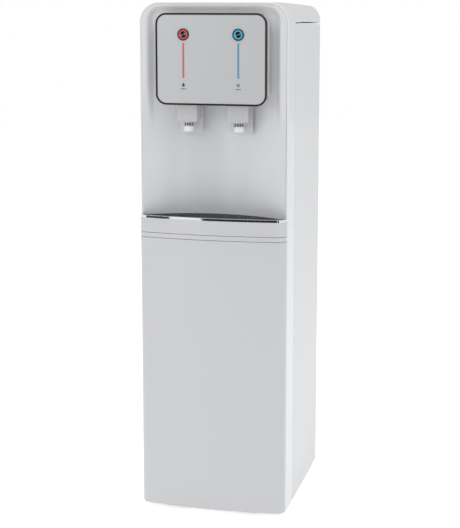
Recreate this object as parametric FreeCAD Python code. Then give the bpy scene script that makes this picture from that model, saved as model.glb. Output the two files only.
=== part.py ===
import FreeCAD, Part
import math
import os

V = FreeCAD.Vector
UP = V(0, 0, 1)
BACK = V(0, 1, 0)
RIGHT = V(1, 0, 0)

# Floor-standing water dispenser. Millimetres, X to the right, Y to the back, Z up,
# origin on the floor under the middle of the cabinet.

# ---- overall -------------------------------------------------------------
width = 312.0
depth = 376.0
height = 1070.0
front_bow = 13.4            # how far the middle of the front stands out from its sides
front_corner_radius = 20.0
top_side_radius = 40.0
top_rear_radius = 35.0
roof_fall = 10.0            # drop of the top cover towards the back

# ---- walls and clearances ------------------------------------------------
moulding = 3.0              # wall of the moulded covers
sheet = 1.2                 # wall of the sheet-steel panels
deck_sheet = 1.5
seam = 0.8                  # gap between neighbouring covers
fit_gap = 0.4               # clearance of a piece that slides or sits in another
skirt = 8.5                 # underside of the covers above the floor
foot_height = 6.0
foot_radius = 17.0

# ---- front, from the top down ---------------------------------------------
side_wrap = 31.0            # how far the front pieces wrap round the corners
frame_depth = 69.6          # depth of the front frame's side flanges
frame_return = 15.0
head_drop = 21.0            # roof to the top of the control panel
head_height = 185.5
head_side_margin = 40.0
head_corner_radius = 22.0
head_front = 12.0           # control panel face behind the front of the cabinet
head_overhang = 19.0        # control panel below the head housing
nozzle_drop = 55.5          # bottom of the control panel to the nozzle's tip
dispensing_height = 175.4   # nozzle's tip to the grille
niche_depth = 47.5          # sagitta of the concave niche wall
grille_thickness = 4.2
trim_height = 4.6
tray_front_height = 29.7
shelf_band = 9.4
band_seam = 0.8

# ---- recess round the head -------------------------------------------------
recess_side_margin = 17.0
recess_floor = 60.0         # recess floor behind the front of the cabinet
recess_top_gap = 6.0
recess_ramp = 20.0
recess_fillet = 8.0
window_half_width = 84.0    # hidden window in the niche wall behind the head

# ---- head -------------------------------------------------------------------
rim_width = 3.0
rim_depth = 8.0
rim_stand = 0.3             # rim stands out in front of the panel's face
face_bevel = 1.2
face_thickness = 3.0
housing_wall = 2.5
housing_side_inset = 1.5
skirt_lip = 3.4             # flange carried inwards to join the skirt

# ---- buttons, light strips, marks --------------------------------------------
button_spacing = 114.6
button_drop = 43.0          # top of the control panel to the button's axis
bezel_radius = 12.5
bezel_lip = 2.2
bezel_bevel = 1.5
barrel_radius = 11.0
barrel_length = 26.0
ring_radius = 8.6
cap_radius = 6.6
strip_width = 4.0
strip_length = 70.5
strip_drop = 60.0
mark_drop = 144.0
mark_size = 7.0
mark_depth = 0.5

# ---- taps ----------------------------------------------------------------------
tap_spacing = 106.0
shroud_width = 43.0
shroud_front = 23.0         # shroud front behind the front of the cabinet
shroud_depth = 31.5
shroud_wall = 2.0
shroud_drop = 34.5          # bottom of the control panel to the shroud's underside
shroud_rear_radius = 17.0
shroud_corner_radius = 4.0
nozzle_back = 38.0
nozzle_radius = 11.5
nozzle_bore = 4.0
nozzle_ring_radius = 12.4
nozzle_ring_height = 10.5
nozzle_ring_ribs = 18
lever_width = 48.0
lever_thickness = 4.0
lever_back = 56.0           # lever's front face behind the front of the cabinet
lever_overreach = 4.0       # lever's end below the nozzle's tip
lever_pivot_rise = 26.5     # pivot above the bottom of the control panel
lever_barrel_radius = 4.5
lever_pin_radius = 2.0
pin_clearance = 0.06

# ---- drip tray -------------------------------------------------------------------
tray_floor = 3.0
trim_inset = 0.6
trim_width = 5.4
ledge_width = 4.0
grille_gap = 0.5
slot_width = 2.6
hole_radius = 1.9

# ---- cabinet ----------------------------------------------------------------------
side_seam_drop = 41.0       # roof to the top edge of the side panels, at the front
side_seam_fall = 7.0
side_seam_gap = 1.5
side_seam_lens = 2.6        # extra gap in the middle of the side seam
rear_recess = 20.0
pan_wall = 24.0
pan_inset = 4.0
post_size = 16.0
screw_head_radius = 3.6
screw_head_height = 2.2
screw_radius = 1.9
screw_length = 7.0
screw_sink = 3.0
top_screw_rise = 8.0        # top cover's screws above its rear lower edge
switch_drop = 212.0         # roof to the middle of the rear switches

# ---- cooling, heating and water, inside ---------------------------------------
hot_side = -1               # the hot tap is on the left
tube_radius = 4.0
tube_bend = 12.0
inlet_bore = 3.25
compressor_radius = 66.0
compressor_height = 150.0
compressor_x = 30.0
mount_height = 14.0
foam_half = 95.0
foam_half_depth = 90.0
foam_height = 250.0
cold_tank_radius = 64.0
cold_tank_height = 190.0
coil_tube_radius = 4.0
coil_pitch = 14.0
coil_turns = 10
hot_tank_radius = 50.0
hot_tank_height = 120.0
jacket_radius = 62.0
jacket_height = 168.0
filter_radius = 29.0
filter_length = 200.0
filter_pitch = 90.0
condenser_tube = 2.4
condenser_half = 108.0
condenser_rows = 12
condenser_row_pitch = 42.0
wire_radius = 0.7
wire_pitch = 9.0

# ---- places that follow from the sizes ------------------------------------------
half_w = width / 2
half_d = depth / 2
front_y = -half_d
rear_y = half_d
bow_radius = (half_w ** 2 + front_bow ** 2) / (2 * front_bow)
wrap_y = front_y + side_wrap
frame_front_y = wrap_y + seam
frame_rear_y = frame_front_y + frame_depth
rear_panel_y = rear_y - rear_recess

head_top = height - head_drop
head_bottom = head_top - head_height
head_half = half_w - head_side_margin
head_y = front_y + head_front
face_y = head_y + rim_stand
nozzle_tip = head_bottom - nozzle_drop
grille_top = nozzle_tip - dispensing_height
tray_top = grille_top - trim_height
tray_bottom = tray_top - tray_front_height
shelf_top = tray_bottom - band_seam
shelf_bottom = shelf_top - shelf_band
cover_top = shelf_bottom - band_seam

niche_half = half_w - moulding
niche_back_y = wrap_y + niche_depth
niche_radius = (niche_half ** 2 + niche_depth ** 2) / (2 * niche_depth)
niche_axis_y = niche_back_y - niche_radius

mid_deck_z = foot_height + 204
tank_deck_z = grille_top + 8
compressor_y = rear_panel_y - 96
foam_front = front_y + 100
foam_y = foam_front + foam_half_depth
foam_z = tank_deck_z + deck_sheet
hot_tank_x = hot_side * 66.0
hot_tank_y = rear_panel_y - 108
filter_y = front_y + 78
filter_z = foot_height + 52
bracket_y = frame_rear_y + 3.6
manifold_z = filter_z + filter_length + 2
condenser_y = rear_panel_y + 10
condenser_low = foot_height + 230
line_x = half_w - 32


def box(x0, x1, y0, y1, z0, z1):
    """Box between two corners."""
    return Part.makeBox(x1 - x0, y1 - y0, z1 - z0, V(x0, y0, z0))


def rod(radius, start, length, axis=UP):
    """Solid cylinder from start along axis."""
    return Part.makeCylinder(radius, length, start, axis)


def pipe_ring(outer, inner, start, length, axis=UP):
    """Hollow cylinder from start along axis."""
    return rod(outer, start, length, axis).cut(rod(inner, start, length, axis))


def join(shapes):
    """One solid from shapes that meet or overlap."""
    solid = shapes[0]
    for other in shapes[1:]:
        solid = solid.fuse(other)
    return solid.removeSplitter()


def group(shapes):
    """Separate solids kept in one node."""
    return Part.makeCompound(shapes)


def prism(points, offset):
    """Extruded polygon."""
    wire = Part.makePolygon(points + [points[0]])
    return Part.Face(wire).extrude(offset)


def edges_where(shape, test):
    """Edges of shape whose middle point and direction satisfy test."""
    found = []
    for edge in shape.Edges:
        if edge.Length < 0.01:
            continue
        middle = edge.valueAt((edge.FirstParameter + edge.LastParameter) / 2)
        straight = isinstance(edge.Curve, (Part.Line, Part.LineSegment))
        direction = edge.tangentAt(edge.FirstParameter) if straight else None
        if test(middle, direction):
            found.append(edge)
    return found


def along(direction, axis):
    """True when a straight edge runs along axis."""
    return direction is not None and abs(direction.dot(axis)) > 0.999


def rounded_rect(half_x, z0, z1, radius, y0, y1, lower_radius=None):
    """Block along Y whose front view is a rectangle with rounded corners."""
    low = radius if lower_radius is None else lower_radius
    block = box(-half_x, half_x, y0, y1, z0, z1)
    top = edges_where(block, lambda m, d: along(d, BACK) and m.z > (z0 + z1) / 2)
    block = block.makeFillet(radius, top)
    if low > 0:
        bottom = edges_where(block, lambda m, d: along(d, BACK) and m.z < z0 + 0.01)
        block = block.makeFillet(low, bottom)
    return block


def bowed_block(z0, z1, inset, y_back):
    """Block with the cabinet's bowed front outline moved inwards by inset, cut off at y_back."""
    side = half_w - inset
    arc = rod(bow_radius - inset, V(0, front_y + bow_radius, z0), z1 - z0)
    block = arc.common(box(-side, side, front_y - 1, y_back, z0, z1))
    corner = max(front_corner_radius - inset, 1.0)
    upright = edges_where(block, lambda m, d: along(d, UP) and m.y < y_back - 1)
    return block.makeFillet(corner, upright)


def niche_cylinder(offset, z0, z1):
    """Cylinder on the niche wall's axis, offset outwards from its front face."""
    return rod(niche_radius + offset, V(0, niche_axis_y, z0), z1 - z0)


def tube(points, radius, bend):
    """Round tube along straight runs joined by tangent arcs."""
    edges = []
    start = points[0]
    for i in range(1, len(points) - 1):
        corner = points[i]
        towards = (points[i - 1] - corner).normalize()
        away = (points[i + 1] - corner).normalize()
        half_turn = (math.pi - towards.getAngle(away)) / 2
        setback = bend * math.tan(half_turn)
        entry = corner + towards * setback
        leave = corner + away * setback
        bisector = (towards + away).normalize()
        middle = corner + bisector * (bend / math.cos(half_turn) - bend)
        edges.append(Part.LineSegment(start, entry).toShape())
        edges.append(Part.Arc(entry, middle, leave).toShape())
        start = leave
    edges.append(Part.LineSegment(start, points[-1]).toShape())
    path = Part.Wire(edges)
    profile = Part.Wire(Part.makeCircle(radius, points[0], points[1] - points[0]))
    return path.makePipeShell([profile], True, False)


def helix_tube(radius, wire_radius, pitch, turns, centre, axis=UP):
    """Round wire wound on a cylinder."""
    path = Part.makeHelix(pitch, pitch * turns, radius)
    profile = Part.Wire(Part.makeCircle(wire_radius, V(radius, 0, 0), V(0, radius, pitch / 6.28)))
    coil = Part.Wire(path).makePipeShell([profile], True, True)
    turn = FreeCAD.Rotation(UP, axis)
    coil.Placement = FreeCAD.Placement(centre, turn)
    return coil


def screw(place, axis):
    """Pan-head screw whose head's underside is at place and whose shank runs along axis."""
    head = rod(screw_head_radius, place - axis * screw_head_height, screw_head_height, axis)
    slot = box(-0.5, 0.5, -screw_head_radius, screw_head_radius, -0.1, 0.9)
    slot.Placement = FreeCAD.Placement(place - axis * screw_head_height, FreeCAD.Rotation(UP, axis))
    return join([head.cut(slot), rod(screw_radius, place, screw_length, axis)])


def screw_hole(place, axis, length):
    """Clearance hole for a screw."""
    return rod(screw_radius + 0.2, place - axis, length + 1, axis)


# ---- cabinet shells ---------------------------------------------------------
def base_pan():
    """Folded steel pan with two tongues that carry the toe of the lower cover."""
    side = half_w - pan_inset
    front = wrap_y + 5
    back = rear_panel_y - 2
    pan = box(-side, side, front, back, foot_height, foot_height + pan_wall)
    pan = pan.cut(box(-side + deck_sheet, side - deck_sheet, front + deck_sheet, back - deck_sheet,
                      foot_height + deck_sheet, foot_height + pan_wall + 1))
    tongues = [box(x - 20, x + 20, front_y + 9, front + 1, foot_height, foot_height + deck_sheet)
               for x in (-half_w / 2, half_w / 2)]
    return join([pan] + tongues)


def rubber_feet():
    """Four round pads under the base pan."""
    x = half_w - 30
    places = [(sx * x, y) for sx in (-1, 1) for y in (wrap_y + 28, rear_panel_y - 28)]
    pads = []
    for px, py in places:
        pad = rod(foot_radius, V(px, py, 0), foot_height)
        pads.append(pad.makeChamfer(1.2, [e for e in pad.Edges if e.BoundBox.ZMax < 0.01]))
    return group(pads)


def side_seam_z(y):
    """Height of the side panel's top edge at y."""
    share = (y - frame_rear_y) / (rear_y - frame_rear_y)
    return height - side_seam_drop - side_seam_fall * share


def side_panel(sign):
    """Steel side panel with a hem at its rear edge."""
    y0 = frame_rear_y + seam
    lean = side_seam_gap
    outline = [V(half_w, y0, skirt), V(half_w, rear_y, skirt),
               V(half_w, rear_y, side_seam_z(rear_y) - lean), V(half_w, y0, side_seam_z(y0) - lean)]
    panel = prism(outline, V(-sheet, 0, 0))
    hem_top = side_seam_z(rear_y) - lean - 4
    hem = box(half_w - 9, half_w - sheet, rear_y - sheet, rear_y, skirt, hem_top)
    panel = join([panel, hem])
    return panel if sign > 0 else panel.mirror(V(0, 0, 0), RIGHT)


def roof_block(inset, y0, y1):
    """Solid with the cabinet's rounded roof outline, moved inwards by inset."""
    block = rounded_rect(half_w - inset, skirt - 20, height - inset, top_side_radius - inset,
                         y0, y1, 0)
    return block


def top_cover():
    """Moulded roof cover with a rounded rear edge and a curved lower edge."""
    y0 = frame_rear_y + seam
    low = height - side_seam_drop - side_seam_fall - 1

    def body(inset, front):
        block = roof_block(inset, front, rear_y - inset)
        profile = [V(-width, front, low - 50), V(-width, rear_y - inset, low - 50),
                   V(-width, rear_y - inset, height - roof_fall - inset),
                   V(-width, front, height - inset)]
        slope = prism(profile, V(2 * width, 0, 0))
        ridge = edges_where(slope, lambda m, d: along(d, RIGHT) and m.y > rear_y - inset - 1
                            and m.z > low)
        return block.common(slope.makeFillet(top_rear_radius - inset, ridge))

    shell = body(0, y0).cut(body(moulding, y0 - 1))
    middle_y = (y0 + rear_y) / 2
    start = V(-width, y0 - 5, side_seam_z(y0))
    crown = V(-width, middle_y, side_seam_z(middle_y) + side_seam_lens)
    end = V(-width, rear_y + 5, side_seam_z(rear_y))
    below = [Part.Arc(start, crown, end).toShape(),
             Part.LineSegment(end, V(-width, rear_y + 5, 0)).toShape(),
             Part.LineSegment(V(-width, rear_y + 5, 0), V(-width, y0 - 5, 0)).toShape(),
             Part.LineSegment(V(-width, y0 - 5, 0), start).toShape()]
    lower = Part.Face(Part.Wire(below)).extrude(V(2 * width, 0, 0))
    shell = shell.cut(lower)
    for place in top_screw_places():
        shell = shell.fuse(rod(8.0, place, 5.0, V(0, -1, 0)))
        shell = shell.cut(rod(screw_head_radius + 0.6, V(place.x, rear_y + 1, place.z), 1 + screw_sink,
                              V(0, -1, 0)))
        shell = shell.cut(screw_hole(place, V(0, -1, 0), 12))
    return shell


def top_screw_places():
    """Screws through sunk bosses in the rear wall of the top cover."""
    z = height - side_seam_drop - side_seam_fall + top_screw_rise
    return [V(sx * (half_w - 50), rear_y - screw_sink, z) for sx in (-1, 1)]


def frame_holes():
    """Front frame's inner outline, as a block to cut with."""
    return roof_block(moulding, frame_front_y - 1, frame_rear_y - moulding)


def front_frame():
    """Full-height moulded frame: two side flanges joined by the roof's front strip."""
    outer = roof_block(0, frame_front_y, frame_rear_y)
    outer = outer.common(box(-width, width, front_y, rear_y, skirt, height + 1))
    nose = edges_where(outer, lambda m, d: m.y < frame_front_y + 0.01 and m.z > skirt + 1)
    outer = outer.makeFillet(1.6, nose)
    frame = outer.cut(frame_holes())
    opening = roof_block(frame_return, frame_front_y - 1, frame_rear_y + 1)
    pan_notch = box(-niche_half, niche_half, front_y, frame_rear_y + 1, 0, foot_height + pan_wall + 1)
    return frame.cut(opening).cut(pan_notch)


def recess(grow):
    """Shallow recess round the head, grown by grow, open to the front."""
    half = half_w - recess_side_margin + grow
    top = height - recess_top_gap + grow * 0.5
    low = head_bottom - 14 - grow
    floor = front_y + recess_floor + grow
    block = rounded_rect(half, low, top, 20 + grow, front_y - 5, floor, 0)
    ramp = [V(-width, floor + 1, low + recess_ramp + 1), V(-width, floor + 1, low - 1),
            V(-width, floor - recess_ramp - 1, low - 1)]
    block = block.cut(prism(ramp, V(2 * width, 0, 0)))
    rear_edges = edges_where(block, lambda m, d: m.y > floor - 0.01 and m.z > low + recess_ramp)
    return block.makeFillet(recess_fillet + grow, rear_edges)


def niche_panel():
    """Concave wall of the dispensing niche with the recess that takes the head."""
    low = shelf_top + 0.5
    high = height - moulding - fit_gap
    outline = roof_block(moulding + fit_gap, wrap_y - 3, rear_y)
    slab = box(-width, width, front_y, niche_back_y + moulding + 1, low, high)
    wall = niche_cylinder(moulding, low, high).cut(niche_cylinder(0, low - 1, high + 1))
    behind = recess(moulding).cut(niche_cylinder(0, low - 1, high + 10))
    panel = join([wall.common(slab), behind.common(slab)]).common(outline)
    panel = panel.cut(recess(0))
    window = box(-window_half_width, window_half_width, front_y, rear_y,
                 head_bottom + head_overhang + 22, head_top - 22)
    return panel.cut(window)


def tray_shelf():
    """Moulded shelf that carries the drip tray and shows as a narrow band."""
    side = niche_half - fit_gap
    front = bowed_block(shelf_bottom, shelf_top, 0, wrap_y)
    deck = box(-side, side, wrap_y - 1, niche_back_y + moulding + 6, shelf_bottom, shelf_top)
    hollow = box(-side + 6, side - 6, wrap_y - 10, niche_back_y + moulding, shelf_bottom - 1,
                 shelf_top - moulding)
    return join([front, deck]).cut(hollow)


def lower_front_cover():
    """Bowed lower cover with closed ends, open to the back."""
    outer = bowed_block(skirt, cover_top, 0, wrap_y)
    inner = bowed_block(skirt + moulding, cover_top - moulding, moulding, wrap_y + 1)
    return outer.cut(inner)


def cover_catches():
    """Two spring catches that hold the lower cover's top edge."""
    catches = []
    for sx in (-1, 1):
        x = sx * (niche_half - 9)
        catches.append(box(x - 5, x + 5, wrap_y + 3, wrap_y + 22, cover_top - 12, shelf_bottom))
    return group(catches)


def rear_posts():
    """Two angle posts from the base pan to the roof."""
    posts = []
    z0 = foot_height + deck_sheet
    z1 = height - side_seam_drop - side_seam_fall - 12
    front = rear_panel_y - post_size
    for sx in (-1, 1):
        side = half_w - pan_inset - deck_sheet - 0.5
        angle = box(side - post_size, side, front - 4, rear_panel_y - 4, z0, z1)
        angle = angle.cut(box(side - post_size - 1, side - deck_sheet, front - 5,
                              rear_panel_y - 4 - deck_sheet, z0 - 1, z1 + 1))
        flange = box(side - post_size, half_w - pan_inset, rear_panel_y - 4, rear_panel_y,
                     foot_height + pan_wall + 1, z1)
        post = join([angle, flange])
        posts.append(post if sx > 0 else post.mirror(V(0, 0, 0), RIGHT))
    posts = group(posts)
    for place in rear_screw_places():
        posts = posts.cut(screw_hole(place, V(0, -1, 0), 12))
    return posts


def rear_screw_places():
    """Screws that hold the rear panel to the posts."""
    x = half_w - pan_inset - deck_sheet - 0.5 - post_size / 2
    low = foot_height + pan_wall + 20
    high = height - side_seam_drop - side_seam_fall - 30
    count = 4
    step = (high - low) / (count - 1)
    return [V(sx * x, rear_panel_y + sheet, low + i * step) for sx in (-1, 1) for i in range(count)]


def rear_panel():
    """Sheet-steel rear panel with louvres, fitting holes and its fixing holes."""
    x = half_w - 4
    low = foot_height + pan_wall + 2
    high = height - side_seam_drop - side_seam_fall - 14
    panel = box(-x, x, rear_panel_y, rear_panel_y + sheet, low, high)
    for i in range(6):
        for z in (low + 95 + i * 9, high - 28 - i * 9):
            panel = panel.cut(box(-55, 55, rear_panel_y - 1, rear_panel_y + 2, z, z + 3.2))
    for place in rear_screw_places():
        panel = panel.cut(screw_hole(place, V(0, -1, 0), 3))
    inlet = power_place()
    panel = panel.cut(box(inlet.x - 14, inlet.x + 14, rear_panel_y - 1, rear_panel_y + 2,
                          inlet.z - 10.5, inlet.z + 10.5))
    for place in switch_places():
        panel = panel.cut(box(place.x - 7, place.x + 7, rear_panel_y - 1, rear_panel_y + 2,
                              place.z - 11, place.z + 11))
    for place in drain_places() + [water_place()]:
        panel = panel.cut(rod(9.2, V(place.x, rear_panel_y - 1, place.z), 4, BACK))
    return panel.cut(rod(5.0, V(line_x, rear_panel_y - 1, discharge_z()), 4, BACK))


def panel_screws():
    """All rear-panel and top-cover screws."""
    rear = [screw(p, V(0, -1, 0)) for p in rear_screw_places()]
    top = [screw(p, V(0, -1, 0)) for p in top_screw_places()]
    return group(rear + top)


def power_place():
    """Middle of the mains inlet on the rear panel."""
    return V(half_w - 56, rear_panel_y, foot_height + 64)


def switch_places():
    """Middles of the heating and cooling switches."""
    z = height - switch_drop
    return [V(sx * 16, rear_panel_y, z) for sx in (-1, 1)]


def drain_places():
    """Axes of the hot and cold drain outlets."""
    z = foot_height + 64
    return [V(-half_w + 36, rear_panel_y, z), V(-half_w + 68, rear_panel_y, z)]


def water_place():
    """Axis of the mains water inlet."""
    return V(-half_w + 98, rear_panel_y, foot_height + 64)


# ---- drip tray --------------------------------------------------------------
def tray_plan(inset, z0, z1):
    """Tray outline: bowed front, wrapped corners, concave-following rear."""
    front = bowed_block(z0, z1, inset, wrap_y)
    side = niche_half - fit_gap - inset
    rear = niche_cylinder(-seam - inset, z0, z1)
    rear = rear.common(box(-side, side, wrap_y - 8, niche_back_y + 5, z0, z1))
    return join([front, rear])


def drip_tray():
    """Tray with an upright front and an inner ledge for the grille."""
    ledge = trim_inset + trim_width + grille_gap + 1.5
    tray = tray_plan(0, tray_bottom, tray_top)
    tray = tray.cut(tray_plan(ledge + ledge_width, tray_bottom + tray_floor, tray_top + 1))
    return tray.cut(tray_plan(moulding + 1, tray_bottom + tray_floor, tray_top - 4))


def tray_trim():
    """Bright strip along the top of the tray's front."""
    outer = bowed_block(tray_top, grille_top + 0.6, trim_inset, wrap_y)
    inner = bowed_block(tray_top - 1, grille_top + 2, trim_inset + trim_width, wrap_y + 1)
    return outer.cut(inner)


def arc_slot(centre, radius, middle_deg, span_deg, z0, z1):
    """Slot along a circle about centre, as a solid to cut with."""
    half = slot_width / 2
    ring = pipe_ring(radius + half, radius - half, V(centre.x, centre.y, z0), z1 - z0)
    reach = radius + slot_width
    a0 = math.radians(middle_deg - span_deg / 2)
    a1 = math.radians(middle_deg + span_deg / 2)
    wedge = [V(centre.x, centre.y, z0)]
    for angle in (a0, (a0 + a1) / 2, a1):
        wedge.append(V(centre.x + 1.3 * reach * math.cos(angle), centre.y + 1.3 * reach * math.sin(angle), z0))
    return ring.common(prism(wedge, V(0, 0, z1 - z0)))


def drip_grille():
    """Flat grille with rings of slots under each nozzle and rows of round holes."""
    inset = trim_inset + trim_width + grille_gap
    z0 = grille_top - grille_thickness
    plate = tray_plan(inset, z0, grille_top)
    cutters = []
    clear = 31.0
    for sx in (-1, 1):
        centre = V(sx * tap_spacing / 2, front_y + nozzle_back, 0)
        for radius, count in ((8, 4), (15, 6), (22, 8)):
            for i in range(count):
                turn = 360.0 / count
                cutters.append(arc_slot(centre, radius, turn * (i + 0.5), turn * 0.68,
                                        z0 - 1, grille_top + 1))
    pitch = 9.0
    for row in (16.0, 25.0, 34.0, 43.0, 52.0, 61.0):
        y = front_y + row
        reach = int((half_w - 30) / pitch)
        for i in range(-reach, reach + 1):
            x = i * pitch
            place = V(x, y, 0)
            near_tap = min((place - V(sx * tap_spacing / 2, front_y + nozzle_back, 0)).Length
                           for sx in (-1, 1)) < clear
            bow = bow_radius - math.sqrt(bow_radius ** 2 - x ** 2)
            behind = niche_axis_y + math.sqrt(niche_radius ** 2 - x ** 2) - 10
            if near_tap or row < bow + 14 or y > behind:
                continue
            cutters.append(rod(hole_radius, V(x, y, z0 - 1), grille_thickness + 2))
    return plate.cut(Part.makeCompound(cutters))


# ---- head --------------------------------------------------------------------
def panel_block(inset, y0, y1):
    """Control panel outline moved inwards by inset."""
    return rounded_rect(head_half - inset, head_bottom + inset, head_top - inset,
                        head_corner_radius - inset, y0, y1)


def button_x(sx):
    """Axis of the hot (-1) or cold (+1) button."""
    return sx * button_spacing / 2


def button_z():
    """Height of the button axes."""
    return head_top - button_drop


def tap_x(sx):
    """Axis of the hot (-1) or cold (+1) tap."""
    return sx * tap_spacing / 2


def panel_rim():
    """Black frame round the control panel."""
    return panel_block(0, head_y, head_y + rim_depth).cut(
        panel_block(rim_width, head_y - 1, head_y + rim_depth + 1))


def control_panel():
    """Flat face with a bevelled edge, drilled for the buttons and grooved for the inlays."""
    y0 = face_y
    y1 = y0 + face_thickness
    face = panel_block(rim_width + 0.1, y0, y1)
    front = [e for e in face.Edges if e.BoundBox.YMax < y0 + 0.01]
    face = face.makeChamfer(face_bevel, front)
    for sx in (-1, 1):
        face = face.cut(rod(barrel_radius + 0.2, V(button_x(sx), y0 - 1, button_z()), 10, BACK))
        face = face.cut(strip_body(sx, 0.05))
        face = face.cut(box(*mark_extent(sx, 0.05)))
    return face


def strip_body(sx, grow):
    """Light strip below a button, grown by grow on every side but the front."""
    x = button_x(sx)
    half = strip_width / 2 + grow
    top = head_top - strip_drop + grow
    y0 = face_y - grow
    return box(x - half, x + half, y0, y0 + 1.2 + 2 * grow, top - strip_length - 2 * grow, top)


def mark_extent(sx, grow):
    """Corners of the square inlay below a light strip."""
    x = button_x(sx)
    half = mark_size / 2 + grow
    z = head_top - mark_drop
    return (x - half, x + half, face_y - grow, face_y + mark_depth + grow, z - half, z + half)


def button_bezel(sx):
    """Round bezel with its threaded barrel and fixing nut."""
    x = button_x(sx)
    z = button_z()
    face = face_y
    lip = rod(bezel_radius, V(x, face - bezel_lip, z), bezel_lip, BACK)
    lip = lip.makeChamfer(bezel_bevel, [e for e in lip.Edges if e.BoundBox.YMax < face - bezel_lip + 0.01])
    barrel = rod(barrel_radius, V(x, face, z), barrel_length, BACK)
    flat_nut = prism([V(x + 15.5 * math.cos(a), face + face_thickness, z + 15.5 * math.sin(a))
                      for a in [math.radians(60 * i) for i in range(6)]], V(0, 4, 0))
    bezel = join([lip, barrel, flat_nut])
    return bezel.cut(rod(ring_radius + 0.05, V(x, face - 3, z), 13, BACK))


def button_ring(sx):
    """Lit ring that sits in the bezel round the cap."""
    x = button_x(sx)
    start = V(x, face_y - bezel_lip + 0.5, button_z())
    return pipe_ring(ring_radius, cap_radius + 0.3, start, 8.0, BACK)


def button_cap(sx):
    """Pressed part of the button."""
    x = button_x(sx)
    y = face_y - bezel_lip + 0.3
    cap = rod(cap_radius, V(x, y, button_z()), 7.6, BACK)
    return cap.makeFillet(0.8, [e for e in cap.Edges if e.BoundBox.YMax < y + 0.01])


def head_housing():
    """Moulded box behind the control panel, open at the front and back."""
    y0 = head_y + rim_depth
    back = front_y + recess_floor + 40
    inset = housing_side_inset
    low = head_bottom + head_overhang
    radius = head_corner_radius - inset

    def body(wall, y_start):
        return rounded_rect(head_half - inset - wall, low + wall, head_top - inset - wall,
                            max(radius - wall, 1), y_start, back, 3)

    shell = body(0, y0).cut(body(housing_wall, y0 - 1))
    wall_side = niche_cylinder(-fit_gap, low - 5, head_top + 5)
    recess_half = half_w - recess_side_margin - fit_gap
    recess_side = box(-recess_half, recess_half, front_y, front_y + recess_floor - fit_gap,
                      low - 5, head_top + 5)
    shell = shell.common(join([wall_side, recess_side]))
    skirt_plate = panel_block(rim_width + 1, y0 - rim_depth + 3.5, y0)
    skirt_plate = skirt_plate.cut(panel_block(rim_width + 4, y0 - rim_depth, y0 + 1))
    flange = panel_block(inset, y0, y0 + 2).cut(body(housing_wall + skirt_lip, y0 - 1))
    shell = join([shell, flange, skirt_plate])
    for sx in (-1, 1):
        x = tap_x(sx)
        half = shroud_width / 2 + fit_gap
        shell = shell.cut(box(x - half, x + half, front_y + shroud_front - fit_gap,
                              front_y + shroud_front + shroud_depth + fit_gap, low - 1, low + 8))
        reach = lever_width / 2 + 0.8
        lever_y = front_y + lever_back + lever_thickness / 2
        shell = shell.cut(box(x - reach, x + reach, lever_y - 3.2, lever_y + 4.5, low - 1, low + 4))
        for side in (-1, 1):
            ear_x = x + side * (lever_width / 2 + 2.4)
            ear = box(ear_x - 1.5, ear_x + 1.5, lever_y - 6, lever_y + 5, low + 1, low + 17)
            shell = join([shell, ear])
        shell = shell.cut(rod(lever_pin_radius, V(x - 40, lever_y, lever_pivot_z()), 80, RIGHT))
    return shell


# ---- taps ---------------------------------------------------------------------
def lever_pivot_z():
    """Height of the lever pins."""
    return head_bottom + lever_pivot_rise


def tap_shroud(sx):
    """Hollow cover of one tap."""
    x = tap_x(sx)
    y0 = front_y + shroud_front
    y1 = y0 + shroud_depth
    low = head_bottom - shroud_drop
    high = head_bottom + head_overhang + 1.5
    half = shroud_width / 2

    def body(wall):
        block = box(x - half + wall, x + half - wall, y0 + wall, y1 - wall, low + wall, high)
        rear = edges_where(block, lambda m, d: along(d, RIGHT) and m.y > y1 - wall - 0.1 and m.z < low + 5)
        block = block.makeFillet(shroud_rear_radius - wall, rear)
        front = edges_where(block, lambda m, d: along(d, UP) and m.y < y0 + wall + 0.1)
        return block.makeFillet(shroud_corner_radius - wall / 2, front)

    shell = body(0).cut(body(shroud_wall).fuse(box(x - half + 2, x + half - 2, y0 + 2, y1 - 2,
                                                   high - 1, high + 1)))
    return shell.cut(rod(nozzle_radius + 0.2, V(x, front_y + nozzle_back, low - 1), 14))


def nozzle(sx):
    """Spout with a stepped tip and its water bore."""
    x = tap_x(sx)
    y = front_y + nozzle_back
    low = head_bottom - shroud_drop
    tip = rod(nozzle_radius - 0.8, V(x, y, nozzle_tip), low - nozzle_ring_height - nozzle_tip)
    tip = tip.makeChamfer(1.0, [e for e in tip.Edges if e.BoundBox.ZMax < nozzle_tip + 0.01])
    neck = rod(nozzle_radius - 2, V(x, y, low - nozzle_ring_height), nozzle_ring_height)
    body = rod(nozzle_radius, V(x, y, low), 26)
    spout = join([tip, neck, body])
    return spout.cut(rod(nozzle_bore, V(x, y, nozzle_tip - 1), 70))


def nozzle_ring(sx):
    """Bright ribbed ring round the nozzle's neck."""
    x = tap_x(sx)
    y = front_y + nozzle_back
    low = head_bottom - shroud_drop - nozzle_ring_height
    ring = pipe_ring(nozzle_ring_radius, nozzle_radius - 1.9, V(x, y, low + 0.1), nozzle_ring_height - 0.3)
    grooves = []
    for i in range(nozzle_ring_ribs):
        angle = 2 * math.pi * i / nozzle_ring_ribs
        groove = V(x + nozzle_ring_radius * math.cos(angle), y + nozzle_ring_radius * math.sin(angle), low + 1.5)
        grooves.append(rod(0.9, groove, nozzle_ring_height - 3))
    return ring.cut(Part.makeCompound(grooves))


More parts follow.
